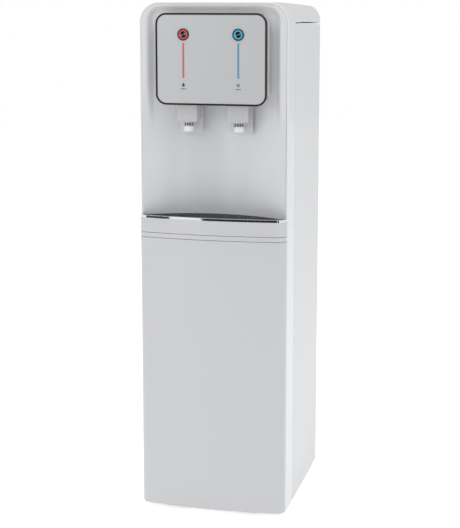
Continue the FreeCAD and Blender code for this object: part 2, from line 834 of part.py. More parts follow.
def cup_lever(sx):
    """Plate that a cup pushes back, with its pivot barrel at the top."""
    x = tap_x(sx)
    y0 = front_y + lever_back
    half = lever_width / 2
    low = nozzle_tip - lever_overreach
    pivot = V(x - half, y0 + lever_thickness / 2, lever_pivot_z())
    plate = box(x - half, x + half, y0, y0 + lever_thickness, low, pivot.z)
    bottom = edges_where(plate, lambda m, d: along(d, BACK) and m.z < low + 1)
    plate = plate.makeFillet(4.0, bottom)
    lever = join([plate, rod(lever_barrel_radius, pivot, lever_width, RIGHT)])
    bore = rod(lever_pin_radius + pin_clearance, pivot - V(1, 0, 0), lever_width + 2, RIGHT)
    return lever.cut(bore)


def lever_pins():
    """Steel pins that carry the cup levers in the housing's ears."""
    pins = []
    for sx in (-1, 1):
        start = V(tap_x(sx) - lever_width / 2 - 4.4, front_y + lever_back + lever_thickness / 2,
                  lever_pivot_z())
        pins.append(rod(lever_pin_radius, start, lever_width + 8.8, RIGHT))
    return group(pins)


def lever_switches():
    """Microswitches in front of the cup levers' upper ends."""
    blocks = []
    for sx in (-1, 1):
        x = tap_x(sx)
        z = lever_pivot_z() + 9
        y = front_y + lever_back + lever_thickness / 2
        body = box(x - 10, x + 10, y - 5, y + 5, z, z + 10)
        blocks.append(join([body, box(x - 2, x + 2, y - 2, y + 2, z - 3, z)]))
    return group(blocks)


# ---- cooling, heating and water, inside ---------------------------------------


def compressor():
    """Welded hermetic shell with its terminal box."""
    z0 = foot_height + deck_sheet + mount_height
    shell = rod(compressor_radius, V(compressor_x, compressor_y, z0), compressor_height)
    rims = [e for e in shell.Edges if isinstance(e.Curve, Part.Circle)]
    shell = shell.makeFillet(28.0, rims)
    weld = rod(compressor_radius + 2, V(compressor_x, compressor_y, z0 + 78), 5)
    plate = box(compressor_x - 62, compressor_x + 62, compressor_y - 40, compressor_y + 40, z0, z0 + 3)
    terminal = box(compressor_x - 22, compressor_x + 22, compressor_y - compressor_radius - 14,
                   compressor_y - 40, z0 + 30, z0 + 74)
    return join([shell, weld, plate, terminal])


def compressor_mounts():
    """Four rubber grommets between the base pan and the compressor's plate."""
    z0 = foot_height + deck_sheet
    return group([rod(9, V(compressor_x + sx * 50, compressor_y + sy * 28, z0), mount_height)
                  for sx in (-1, 1) for sy in (-1, 1)])


def deck(front, z):
    """Steel shelf across the cabinet between the side panels."""
    side = half_w - pan_inset - deck_sheet - 1
    back = rear_panel_y - post_size - 5
    return box(-side, side, front, back, z, z + deck_sheet)


def mid_deck():
    """Shelf over the compressor that carries the hot tank."""
    plate = deck(frame_rear_y + 36, mid_deck_z)
    hot_drain = drain_places()[1]
    for x, y in ((hot_drain.x, hot_tank_y), (line_x, compressor_y + 8), (drain_places()[0].x, rear_panel_y - 40)):
        plate = plate.cut(rod(7, V(x, y, mid_deck_z - 1), 4))
    return plate


def tank_deck():
    """Shelf that carries the insulated cold tank."""
    plate = deck(frame_rear_y + 3, tank_deck_z)
    for x, y in ((line_x, compressor_y + 8), (drain_places()[0].x, rear_panel_y - 40)):
        plate = plate.cut(rod(7, V(x, y, tank_deck_z - 1), 4))
    return plate


def cold_tank():
    """Stainless cold tank with its outlet."""
    z0 = foam_z + 22
    body = pipe_ring(cold_tank_radius, cold_tank_radius - 1.2, V(0, foam_y, z0), cold_tank_height)
    ends = [rod(cold_tank_radius, V(0, foam_y, z0 + dz), 1.2) for dz in (0, cold_tank_height - 1.2)]
    return join([body] + ends)


def evaporator_coil():
    """Copper coil wound round the cold tank."""
    radius = cold_tank_radius + coil_tube_radius + 0.5
    return helix_tube(radius, coil_tube_radius, coil_pitch, coil_turns, V(0, foam_y, foam_z + 40))


def tank_foam():
    """The cold tank's foam jacket, in two halves split across the middle."""
    halves = []
    core = cold_tank_radius + 2 * coil_tube_radius + 2
    cavity = rod(core, V(0, foam_y, foam_z + 21), cold_tank_height + 3)
    for y0 in (foam_y - foam_half_depth, foam_y):
        block = box(-foam_half, foam_half, y0, y0 + foam_half_depth, foam_z, foam_z + foam_height)
        halves.append(block.cut(cavity))
    return group(halves)


def hot_tank():
    """Stainless hot tank with an outlet neck."""
    z0 = mid_deck_z + deck_sheet + 16
    body = rod(hot_tank_radius, V(hot_tank_x, hot_tank_y, z0), hot_tank_height)
    inner = rod(hot_tank_radius - 1.5, V(hot_tank_x, hot_tank_y, z0 + 1.5), hot_tank_height - 3)
    return body.cut(inner)


def tank_heater():
    """Band heater clamped round the hot tank, and two thermostats on its top."""
    z0 = mid_deck_z + deck_sheet + 30
    band = pipe_ring(hot_tank_radius + 3, hot_tank_radius + 0.2, V(hot_tank_x, hot_tank_y, z0), 34)
    band = band.cut(box(hot_tank_x - 3, hot_tank_x + 3, hot_tank_y - 60, hot_tank_y, z0 - 1, z0 + 35))
    lid = mid_deck_z + deck_sheet + 16 + hot_tank_height
    return group([band] + [rod(8, V(hot_tank_x + dx, hot_tank_y, lid), 7) for dx in (-20, 20)])


def hot_jacket():
    """Foam sleeve round the hot tank."""
    z0 = mid_deck_z + deck_sheet
    sleeve = rod(jacket_radius, V(hot_tank_x, hot_tank_y, z0), jacket_height)
    cavity = rod(hot_tank_radius + 4, V(hot_tank_x, hot_tank_y, z0 + 15.5), hot_tank_height + 9)
    return sleeve.cut(cavity)


def filter_bracket():
    """Steel plate between the frame's flanges that carries the manifold and valves."""
    side = half_w - frame_return + 8
    plate = box(-side, side, bracket_y, bracket_y + deck_sheet, manifold_z - 8, manifold_z + 108)
    return plate.cut(rod(tube_radius + 1, V(water_place().x, bracket_y - 1, manifold_z + 15), 5, BACK))


def filter_manifold():
    """Moulded head block that the filter cartridges hang from."""
    half = filter_pitch + filter_radius + 5
    block = box(-half, half, filter_y - 25, bracket_y, manifold_z, manifold_z + 30)
    block = block.makeFillet(4, edges_where(block, lambda m, d: along(d, UP) and m.y < filter_y))
    sockets = [rod(filter_radius + 2, V(i * filter_pitch, filter_y, manifold_z - 8), 8.01) for i in (-1, 0, 1)]
    return join([block.cut(box(-half - 1, half + 1, filter_y + 20, bracket_y - 2, manifold_z - 1,
                               manifold_z + 6))] + [s.cut(box(-width, width, bracket_y - 0.1, bracket_y + 20,
                                                                manifold_z - 9, manifold_z + 1)) for s in sockets])


def filter_cartridges():
    """Three filter cartridges."""
    cartridges = []
    for i in (-1, 0, 1):
        body = rod(filter_radius, V(i * filter_pitch, filter_y, filter_z - 8), filter_length + 1)
        rims = [e for e in body.Edges if e.BoundBox.ZMax < filter_z - 7]
        body = body.makeFillet(12, rims)
        cartridges.append(body)
    return group(cartridges)


def solenoid_valves():
    """Inlet, hot and cold valves on the bracket."""
    valves = []
    y = bracket_y + deck_sheet
    for i in (-1, 0, 1):
        x = i * filter_pitch
        body = box(x - 14, x + 14, y, y + 30, manifold_z + 50, manifold_z + 72)
        coil = rod(13, V(x, y + 15, manifold_z + 72), 26)
        valves.append(join([body, coil]))
    return group(valves)


def water_tubes():
    """Inlet tube, the two feeds to the taps and the two drains."""
    inlet = water_place()
    cold_drain, hot_drain = drain_places()
    back = rear_panel_y - 18
    riser_y = foam_front - 7
    feed_z = head_bottom + 54.5
    top = mid_deck_z + deck_sheet + jacket_height
    cold_z = foam_z + foam_height
    nozzle_y = front_y + nozzle_back
    nozzle_top = head_bottom - shroud_drop + 26
    hot_x = tap_x(-1)
    cold_x = tap_x(1)
    drain_y = rear_panel_y - 40
    runs = [
        [V(inlet.x, back, inlet.z), V(inlet.x, frame_rear_y + 26, inlet.z),
         V(inlet.x, frame_rear_y + 26, manifold_z + 15), V(inlet.x, bracket_y, manifold_z + 15)],
        [V(hot_x, hot_tank_y, top), V(hot_x, hot_tank_y, top + 30), V(hot_x, riser_y, top + 30),
         V(hot_x, riser_y, feed_z), V(hot_x, nozzle_y, feed_z), V(hot_x, nozzle_y, nozzle_top)],
        [V(cold_x, foam_y, cold_z), V(cold_x, foam_y, cold_z + 24),
         V(cold_x, nozzle_y, cold_z + 24), V(cold_x, nozzle_y, nozzle_top)],
        [V(-foam_half, foam_y + 60, foam_z + 24), V(cold_drain.x, foam_y + 60, foam_z + 24),
         V(cold_drain.x, drain_y, foam_z + 24), V(cold_drain.x, drain_y, cold_drain.z),
         V(cold_drain.x, back, cold_drain.z)],
        [V(hot_drain.x, hot_tank_y, mid_deck_z + deck_sheet), V(hot_drain.x, hot_tank_y, hot_drain.z),
         V(hot_drain.x, back, hot_drain.z)],
    ]
    bends = (tube_bend, tube_bend, 10.0, 9.0, tube_bend)
    return group([tube(points, tube_radius, bend) for points, bend in zip(runs, bends)])


def discharge_z():
    """Height at which the discharge line passes the rear panel."""
    return foot_height + deck_sheet + mount_height + 132


def refrigerant_lines():
    """Discharge line to the condenser and suction line from the evaporator."""
    z0 = foot_height + deck_sheet + mount_height
    side = compressor_x + compressor_radius
    discharge = [V(side, compressor_y, z0 + 64), V(line_x, compressor_y, z0 + 64),
                 V(line_x, compressor_y, discharge_z()), V(line_x, condenser_y, discharge_z()),
                 V(line_x, condenser_y, z0 + 160)]
    y = compressor_y + 8
    suction = [V(compressor_x + 20, y, z0 + compressor_height), V(compressor_x + 20, y, z0 + 168),
               V(line_x, y, z0 + 168), V(line_x, y, foam_z + 60), V(foam_half, y, foam_z + 60)]
    return group([tube(discharge, 3.0, 10.0), tube(suction, 3.0, 8.0)])


def condenser_coil():
    """Serpentine condenser tube behind the rear panel."""
    y = condenser_y
    turn = condenser_row_pitch / 2
    entry = V(line_x, y, foot_height + deck_sheet + mount_height + 160)
    z = condenser_low
    bend = 12.0
    k = bend * (1 - math.sqrt(0.5))
    edges = [Part.LineSegment(entry, V(line_x, y, z - bend)).toShape(),
             Part.Arc(V(line_x, y, z - bend), V(line_x - k, y, z - k), V(line_x - bend, y, z)).toShape()]
    start = V(line_x - bend, y, z)
    half = condenser_half - turn
    for row in range(condenser_rows):
        side = -1 if row % 2 == 0 else 1
        end = V(side * half, y, z)
        edges.append(Part.LineSegment(start, end).toShape())
        if row < condenser_rows - 1:
            top = V(side * half, y, z + condenser_row_pitch)
            edges.append(Part.Arc(end, V(side * (half + turn), y, z + turn), top).toShape())
            start = top
            z += condenser_row_pitch
    profile = Part.Wire(Part.makeCircle(condenser_tube, entry, UP))
    return Part.Wire(edges).makePipeShell([profile], True, False)


def condenser_wires():
    """Upright wires spot-welded on both sides of the condenser tube."""
    low = condenser_low - 14
    length = condenser_row_pitch * (condenser_rows - 1) + 28
    reach = int((condenser_half - 22) / wire_pitch)
    stand = condenser_tube + wire_radius + 0.05
    return [rod(wire_radius, V(i * wire_pitch, condenser_y + side * stand, low), length)
            for i in range(-reach, reach + 1) for side in (-1, 1)]


def condenser_strips():
    """Two strips that stand the condenser off the rear panel."""
    low = condenser_low - 6
    length = condenser_row_pitch * (condenser_rows - 1) + 12
    x = wire_pitch * 7.5
    return [box(sx * x - 2, sx * x + 2, rear_panel_y + sheet, condenser_y - condenser_tube - 0.1,
                low, low + length) for sx in (-1, 1)]


def condenser():
    """Wire-on-tube condenser with its mounting strips."""
    return group([condenser_coil()] + condenser_wires() + condenser_strips())


def control_board():
    """Circuit board with its relays and terminal block on a tray."""
    z = foam_z + foam_height
    y = foam_y + 10
    tray = box(-72, 40, y - 10, y + 60, z, z + 4)
    board = box(-68, 36, y - 6, y + 56, z + 4, z + 5.6)
    relays = [box(x, x + 18, y, y + 20, z + 5.6, z + 21) for x in (-60, -36, -12)]
    block = box(-50, 20, y + 38, y + 52, z + 5.6, z + 18)
    return join([tray, board, block] + relays)


def power_inlet():
    """Mains inlet socket with three blades."""
    p = power_place()
    flange = box(p.x - 17, p.x + 17, p.y + sheet, p.y + sheet + 3, p.z - 13.5, p.z + 13.5)
    body = box(p.x - 13.8, p.x + 13.8, p.y - 22, p.y + sheet, p.z - 10.2, p.z + 10.2)
    socket = join([flange, body]).cut(box(p.x - 12, p.x + 12, p.y - 16, p.y + 6, p.z - 8.2, p.z + 8.2))
    blades = [box(p.x + dx - 1, p.x + dx + 1, p.y - 16.5, p.y + 1, p.z + dz - 2, p.z + dz + 2)
              for dx, dz in ((-7, -2), (0, 2), (7, -2))]
    return join([socket] + blades)


def switch_bodies():
    """Housings of the heating and cooling switches."""
    bodies = []
    for p in switch_places():
        flange = box(p.x - 8.5, p.x + 8.5, p.y + sheet, p.y + sheet + 1.5, p.z - 12.5, p.z + 12.5)
        body = box(p.x - 6.8, p.x + 6.8, p.y - 14, p.y + sheet, p.z - 10.8, p.z + 10.8)
        well = box(p.x - 5.4, p.x + 5.4, p.y - 9, p.y + 4, p.z - 9.2, p.z + 9.2)
        bodies.append(join([flange, body]).cut(well))
    return group(bodies)


def switch_rocker(index):
    """Rocker of one rear switch, tipped about its own middle."""
    p = switch_places()[index]
    outline = [V(p.x - 5, p.y - 2.5, p.z - 7), V(p.x - 5, p.y + 3.6, p.z - 8),
               V(p.x - 5, p.y + 3.1, p.z), V(p.x - 5, p.y + 4.6, p.z + 8), V(p.x - 5, p.y - 0.5, p.z + 7)]
    return prism(outline, V(10, 0, 0))


def water_inlet():
    """Bulkhead push-in fitting for the water line."""
    p = water_place()
    y = rear_panel_y
    collar = rod(12, V(p.x, y + sheet, p.z), 4, BACK)
    barrel = rod(9, V(p.x, y - 18, p.z), 18 + sheet, BACK)
    nose = rod(8, V(p.x, y + sheet + 4, p.z), 8, BACK)
    fitting = join([collar, barrel, nose])
    return fitting.cut(rod(inlet_bore, V(p.x, y - 2, p.z), sheet + 15, BACK))


def drain_outlets():
    """Two threaded drain spigots."""
    outlets = []
    for p in drain_places():
        flange = rod(12, V(p.x, rear_panel_y + sheet, p.z), 2, BACK)
        barrel = rod(9, V(p.x, rear_panel_y - 18, p.z), 18 + sheet, BACK)
        spigot = rod(6.5, V(p.x, rear_panel_y + sheet + 2, p.z), 9, BACK)
        outlets.append(join([flange, barrel, spigot]).cut(rod(4, V(p.x, rear_panel_y - 6, p.z), 40, BACK)))
    return group(outlets)


def drain_cap(index):
    """Screw cap of one drain spigot."""
    p = drain_places()[index]
    y = rear_panel_y + sheet + 2.4
    cap = rod(10, V(p.x, y, p.z), 12, BACK)
    ribs = [rod(1.2, V(p.x + 10 * math.cos(a), y + 1, p.z + 10 * math.sin(a)), 10, BACK)
            for a in [2 * math.pi * i / 16 for i in range(16)]]
    cap = cap.cut(Part.makeCompound(ribs))
    return cap.cut(rod(6.56, V(p.x, y - 1, p.z), 10, BACK))


def build_nodes():
    """Every node's name and shape."""
    nodes = {}
    for maker in (base_pan, rubber_feet, top_cover, front_frame, niche_panel, tray_shelf,
                  lower_front_cover, cover_catches, rear_posts, rear_panel, panel_screws,
                  drip_tray, tray_trim, drip_grille, panel_rim, control_panel, head_housing,
                  lever_pins, lever_switches, compressor, compressor_mounts, mid_deck, tank_deck,
                  cold_tank, evaporator_coil, tank_foam, hot_tank, tank_heater, hot_jacket,
                  filter_bracket, filter_manifold, filter_cartridges, solenoid_valves, water_tubes,
                  refrigerant_lines, condenser, control_board, power_inlet, switch_bodies, water_inlet, drain_outlets):
        nodes[maker.__name__] = maker()
    nodes["left_side_panel"] = side_panel(-1)
    nodes["right_side_panel"] = side_panel(1)
    for index, tank in enumerate(("heating", "cooling")):
        nodes[tank + "_switch_rocker"] = switch_rocker(index)
    for index, side in enumerate(("cold", "hot")):
        nodes[side + "_drain_cap"] = drain_cap(index)
    bezels = []
    marks = []
    shrouds = []
    nozzles = []
    rings = []
    for side, sx in (("hot", -1), ("cold", 1)):
        nodes[side + "_light_strip"] = strip_body(sx, 0)
        nodes[side + "_button_ring"] = button_ring(sx)
        nodes[side + "_button_cap"] = button_cap(sx)
        nodes[side + "_cup_lever"] = cup_lever(sx)
        bezels.append(button_bezel(sx))
        marks.append(box(*mark_extent(sx, 0)))
        shrouds.append(tap_shroud(sx))
        nozzles.append(nozzle(sx))
        rings.append(nozzle_ring(sx))
    nodes["button_bezels"] = group(bezels)
    nodes["panel_marks"] = group(marks)
    nodes["tap_shrouds"] = group(shrouds)
    nodes["nozzles"] = group(nozzles)
    nodes["nozzle_rings"] = group(rings)
    return nodes


def main():
    """Write every node to its own STEP file."""
    os.makedirs("parts", exist_ok=True)
    for name, shape in build_nodes().items():
        shape.exportStep("parts/" + name + ".step")
        print(name, "solids", len(shape.Solids), "volume", round(shape.Volume))


main()
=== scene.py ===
"""Looks of a floor-standing water dispenser: finishes, moulded details, studio and camera.

Metres, X to the right, Y to the back, Z up, the origin on the floor under the cabinet.
"""
import logging
import math
from dataclasses import dataclass, field
from enum import Enum

import bmesh
import bpy
from mathutils import Matrix, Vector


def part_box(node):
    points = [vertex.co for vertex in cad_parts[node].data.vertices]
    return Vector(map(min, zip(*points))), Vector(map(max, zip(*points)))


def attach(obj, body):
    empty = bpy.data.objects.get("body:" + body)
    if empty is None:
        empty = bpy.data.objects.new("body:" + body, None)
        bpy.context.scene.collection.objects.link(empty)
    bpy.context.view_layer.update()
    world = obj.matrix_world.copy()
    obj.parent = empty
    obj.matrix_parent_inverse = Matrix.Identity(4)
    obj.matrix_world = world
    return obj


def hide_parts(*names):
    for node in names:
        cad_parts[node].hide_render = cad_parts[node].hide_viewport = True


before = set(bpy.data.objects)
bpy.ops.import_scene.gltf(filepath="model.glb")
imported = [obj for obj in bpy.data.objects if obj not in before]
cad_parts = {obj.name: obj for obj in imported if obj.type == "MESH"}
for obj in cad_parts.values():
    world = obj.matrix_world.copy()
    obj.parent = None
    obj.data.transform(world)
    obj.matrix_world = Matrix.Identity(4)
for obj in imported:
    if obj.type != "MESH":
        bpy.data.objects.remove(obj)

log = logging.getLogger("dispenser")

Colour = tuple[float, float, float]
Point = tuple[float, float, float]

MM = 0.001


# ---- small helpers ------------------------------------------------------------
class NodeSheet:
    """A node tree with short ways to add, set and join its nodes."""

    def __init__(self, tree: bpy.types.NodeTree) -> None:
        """Wraps a tree.

        Args:
            tree: The node tree to draw on.
        """
        self.tree = tree

    def add(self, kind: str, **settings: object) -> bpy.types.Node:
        """Adds a node.

        Args:
            kind: Blender's name for the node type.
            **settings: Properties to set on the node.

        Returns:
            The new node.
        """
        node = self.tree.nodes.new(kind)
        for name, value in settings.items():
            setattr(node, name, value)
        return node

    def feed(self, target: bpy.types.NodeSocket, source: object) -> None:
        """Joins a socket to another, or sets it to a value.

        Args:
            target: The input socket.
            source: An output socket, a number, a vector or a colour.
        """
        if isinstance(source, bpy.types.NodeSocket):
            self.tree.links.new(source, target)
        else:
            target.default_value = source

    def math(self, operation: str, *values: object) -> bpy.types.NodeSocket:
        """Adds a Math node.

        Args:
            operation: Blender's name for the operation.
            *values: Sockets or numbers, in order.

        Returns:
            The result's socket.
        """
        node = self.add("ShaderNodeMath", operation=operation)
        for index, value in enumerate(values):
            self.feed(node.inputs[index], value)
        return node.outputs[0]

    def spread(self, value: object, low: float, high: float, start: object,
               end: object) -> bpy.types.NodeSocket:
        """Maps low..high to start..end, clamped.

        Args:
            value: The socket to map.
            low: Value that gives start.
            high: Value that gives end.
            start: Result at low.
            end: Result at high.

        Returns:
            The mapped value's socket.
        """
        node = self.add("ShaderNodeMapRange", clamp=True)
        for name, item in (("Value", value), ("From Min", low), ("From Max", high),
                           ("To Min", start), ("To Max", end)):
            self.feed(node.inputs[name], item)
        return node.outputs["Result"]

    def blend(self, share: object, first: object, second: object) -> bpy.types.NodeSocket:
        """Mixes two colours.

        Args:
            share: How much of the second, 0 to 1.
            first: Colour or socket at share 0.
            second: Colour or socket at share 1.

        Returns:
            The mixed colour's socket.
        """
        node = self.add("ShaderNodeMix", data_type="RGBA")
        self.feed(node.inputs[0], share)
        self.feed(node.inputs[6], first)
        self.feed(node.inputs[7], second)
        return node.outputs[2]

    def noise(self, vector: object, scale: object, detail: float = 3.0) -> bpy.types.NodeSocket:
        """Adds a noise pattern.

        Args:
            vector: Where the pattern is read.
            scale: Cells to the metre.
            detail: Octaves of finer noise.

        Returns:
            The pattern's value, 0 to 1.
        """
        node = self.add("ShaderNodeTexNoise")
        self.feed(node.inputs["Vector"], vector)
        self.feed(node.inputs["Scale"], scale)
        self.feed(node.inputs["Detail"], detail)
        return node.outputs["Fac"]

    def stretch(self, vector: object, scale: object) -> bpy.types.NodeSocket:
        """Scales a vector along each axis.

        Args:
            vector: The vector's socket.
            scale: Three factors, or a socket with them.

        Returns:
            The scaled vector's socket.
        """
        node = self.add("ShaderNodeVectorMath", operation="MULTIPLY")
        self.feed(node.inputs[0], vector)
        self.feed(node.inputs[1], scale)
        return node.outputs[0]


def shade(colour: Colour, factor: float) -> tuple[float, float, float, float]:
    """Colour made lighter or darker.

    Args:
        colour: Red, green and blue.
        factor: What each is multiplied by.

    Returns:
        The colour with a fourth value of 1.
    """
    red, green, blue = (min(part * factor, 1.0) for part in colour)
    return (red, green, blue, 1.0)


# ---- effects that several finishes share ----------------------------------------
class Effect(Enum):
    """Shader groups, each built once."""

    SOFT_EDGES = "soft_edges"
    MOULD_GRAIN = "mould_grain"
    ORANGE_PEEL = "orange_peel"
    DUST = "dust"
    BRUSHED = "brushed"
    SPANGLE = "spangle"
    TURNED = "turned"
    CELLS = "cells"


@dataclass
class EffectShelf:
    """Builds the shared shader groups and hands them out.

    Attributes:
        built: The groups made so far.
    """

    built: dict[Effect, bpy.types.NodeTree] = field(default_factory=dict)

    def get(self, effect: Effect) -> bpy.types.NodeTree:
        """Gives the group for an effect, building it the first time.

        Args:
            effect: Which effect.

        Returns:
            Its node group.
        """
        if effect not in self.built:
            self.built[effect] = getattr(self, "_" + effect.value)()
        return self.built[effect]

    def _open(self, name: str, inputs: dict[str, tuple[str, object]],
              outputs: dict[str, str]) -> tuple[NodeSheet, dict, bpy.types.Node]:
        """Starts a group with its sockets.

        Args:
            name: The group's name.
            inputs: Socket type and default value by name.
            outputs: Socket type by name.

        Returns:
            The sheet, the input sockets by name and the output node.
        """
        tree = bpy.data.node_groups.new(name, "ShaderNodeTree")
        for label, (kind, value) in inputs.items():
            socket = tree.interface.new_socket(label, in_out="INPUT", socket_type=kind)
            if value is not None:
                socket.default_value = value
        for label, kind in outputs.items():
            tree.interface.new_socket(label, in_out="OUTPUT", socket_type=kind)
        sheet = NodeSheet(tree)
        start = sheet.add("NodeGroupInput")
        end = sheet.add("NodeGroupOutput")
        return sheet, {socket.name: socket for socket in start.outputs}, end

    def _soft_edges(self) -> bpy.types.NodeTree:
        """Edges rounded by shading, and a mask of where they are, which the finishes use to
        paint a highlight along the edges.

        Returns:
            The group.
        """
        sheet, given, end = self._open(
            "soft_edges", {"Radius": ("NodeSocketFloat", 1 * MM)},
            {"Normal": "NodeSocketVector", "Edge": "NodeSocketFloat"})
        bevel = sheet.add("ShaderNodeBevel", samples=4)
        sheet.feed(bevel.inputs["Radius"], given["Radius"])
        geometry = sheet.add("ShaderNodeNewGeometry")
        dot = sheet.add("ShaderNodeVectorMath", operation="DOT_PRODUCT")
        sheet.feed(dot.inputs[0], bevel.outputs[0])
        sheet.feed(dot.inputs[1], geometry.outputs["Normal"])
        edge = sheet.spread(dot.outputs["Value"], 0.75, 0.99, 1.0, 0.0)
        sheet.feed(end.inputs["Normal"], bevel.outputs[0])
        sheet.feed(end.inputs["Edge"], edge)
        return sheet.tree

    def _mould_grain(self) -> bpy.types.NodeTree:
        """Fine spark-eroded texture of a mould, with faint flow marks.

        Returns:
            The group.
        """
        sheet, given, end = self._open(
            "mould_grain", {"Vector": ("NodeSocketVector", None),
                            "Scale": ("NodeSocketFloat", 1800.0)},
            {"Height": "NodeSocketFloat", "Tone": "NodeSocketFloat"})
        fine = sheet.noise(given["Vector"], given["Scale"], 2.0)
        flow = sheet.noise(given["Vector"], 4.0, 2.0)
        sheet.feed(end.inputs["Height"], fine)
        sheet.feed(end.inputs["Tone"], flow)
        return sheet.tree

    def _orange_peel(self) -> bpy.types.NodeTree:
        """Slow ripple of sprayed paint or a polished moulding.

        Returns:
            The group.
        """
        sheet, given, end = self._open(
            "orange_peel", {"Vector": ("NodeSocketVector", None),
                            "Scale": ("NodeSocketFloat", 260.0)},
            {"Height": "NodeSocketFloat", "Tone": "NodeSocketFloat"})
        ripple = sheet.noise(given["Vector"], given["Scale"], 1.0)
        wide = sheet.noise(given["Vector"], 4.0, 2.0)
        sheet.feed(end.inputs["Height"], ripple)
        sheet.feed(end.inputs["Tone"], wide)
        return sheet.tree

    def _dust(self) -> bpy.types.NodeTree:
        """Where dust settles: on what faces up, in patches.

        Returns:
            The group.
        """
        sheet, given, end = self._open(
            "dust", {"Vector": ("NodeSocketVector", None), "Amount": ("NodeSocketFloat", 0.1)},
            {"Dust": "NodeSocketFloat"})
        geometry = sheet.add("ShaderNodeNewGeometry")
        parts = sheet.add("ShaderNodeSeparateXYZ")
        sheet.feed(parts.inputs[0], geometry.outputs["Normal"])
        upward = sheet.spread(parts.outputs["Z"], 0.2, 1.0, 0.0, 1.0)
        patches = sheet.spread(sheet.noise(given["Vector"], 45.0, 4.0), 0.35, 0.75, 0.25, 1.0)
        film = sheet.math("MULTIPLY", sheet.math("MULTIPLY", upward, patches), given["Amount"])
        sheet.feed(end.inputs["Dust"], film)
        return sheet.tree

    def _brushed(self) -> bpy.types.NodeTree:
        """Long fine lines of brushed or drawn metal.

        Returns:
            The group.
        """
        sheet, given, end = self._open(
            "brushed", {"Vector": ("NodeSocketVector", None),
                        "Lines": ("NodeSocketVector", (9.0, 9.0, 900.0))},
            {"Height": "NodeSocketFloat", "Tone": "NodeSocketFloat"})
        lines = sheet.noise(sheet.stretch(given["Vector"], given["Lines"]), 1.0, 4.0)
        cloud = sheet.noise(given["Vector"], 14.0, 2.0)
        sheet.feed(end.inputs["Height"], lines)
        sheet.feed(end.inputs["Tone"], sheet.math("MULTIPLY_ADD", lines, 0.6,
                                                  sheet.math("MULTIPLY", cloud, 0.4)))
        return sheet.tree

    def _spangle(self) -> bpy.types.NodeTree:
        """Crystal flowers of hot-dip galvanising.

        Returns:
            The group.
        """
        sheet, given, end = self._open(
            "spangle", {"Vector": ("NodeSocketVector", None),
                        "Scale": ("NodeSocketFloat", 95.0)},
            {"Height": "NodeSocketFloat", "Tone": "NodeSocketFloat"})
        cells = sheet.add("ShaderNodeTexVoronoi")
        sheet.feed(cells.inputs["Vector"], given["Vector"])
        sheet.feed(cells.inputs["Scale"], given["Scale"])
        parts = sheet.add("ShaderNodeSeparateColor")
        sheet.feed(parts.inputs[0], cells.outputs["Color"])
        sheet.feed(end.inputs["Height"], cells.outputs["Distance"])
        sheet.feed(end.inputs["Tone"], parts.outputs[0])
        return sheet.tree

    def _turned(self) -> bpy.types.NodeTree:
        """Concentric turning marks round the Y axis through the vector's origin, and a mask of
        fan-shaped sectors by angle for a painted reflection.

        Returns:
            The group.
        """
        sheet, given, end = self._open(
            "turned", {"Vector": ("NodeSocketVector", None),
                       "Pitch": ("NodeSocketFloat", 0.18 * MM)},
            {"Height": "NodeSocketFloat", "PaintedFans": "NodeSocketFloat"})
        parts = sheet.add("ShaderNodeSeparateXYZ")
        sheet.feed(parts.inputs[0], given["Vector"])
        across, up = parts.outputs["X"], parts.outputs["Z"]
        square = sheet.math("ADD", sheet.math("MULTIPLY", across, across),
                            sheet.math("MULTIPLY", up, up))
        radius = sheet.math("SQRT", square)
        turns = sheet.math("DIVIDE", radius, given["Pitch"])
        ridge = sheet.math("SINE", sheet.math("MULTIPLY", turns, math.tau))
        angle = sheet.math("ARCTAN2", up, across)
        # painted reflection: mask of fan-shaped sectors by angle round the axis
        fans = sheet.math("SINE", sheet.math("MULTIPLY_ADD", angle, 2.0, 0.9))
        sheet.feed(end.inputs["Height"], ridge)
        sheet.feed(end.inputs["PaintedFans"], sheet.spread(fans, 0.15, 1.0, 0.0, 1.0))
        return sheet.tree

    def _cells(self) -> bpy.types.NodeTree:
        """Closed bubbles of moulded foam.

        Returns:
            The group.
        """
        sheet, given, end = self._open(
            "cells", {"Vector": ("NodeSocketVector", None),
                      "Scale": ("NodeSocketFloat", 420.0)},
            {"Height": "NodeSocketFloat", "Tone": "NodeSocketFloat"})
        bubbles = sheet.add("ShaderNodeTexVoronoi", feature="SMOOTH_F1")
        sheet.feed(bubbles.inputs["Vector"], given["Vector"])
        sheet.feed(bubbles.inputs["Scale"], given["Scale"])
        sheet.feed(end.inputs["Height"], bubbles.outputs["Distance"])
        sheet.feed(end.inputs["Tone"], sheet.noise(given["Vector"], 25.0, 3.0))
        return sheet.tree


EFFECTS = EffectShelf()


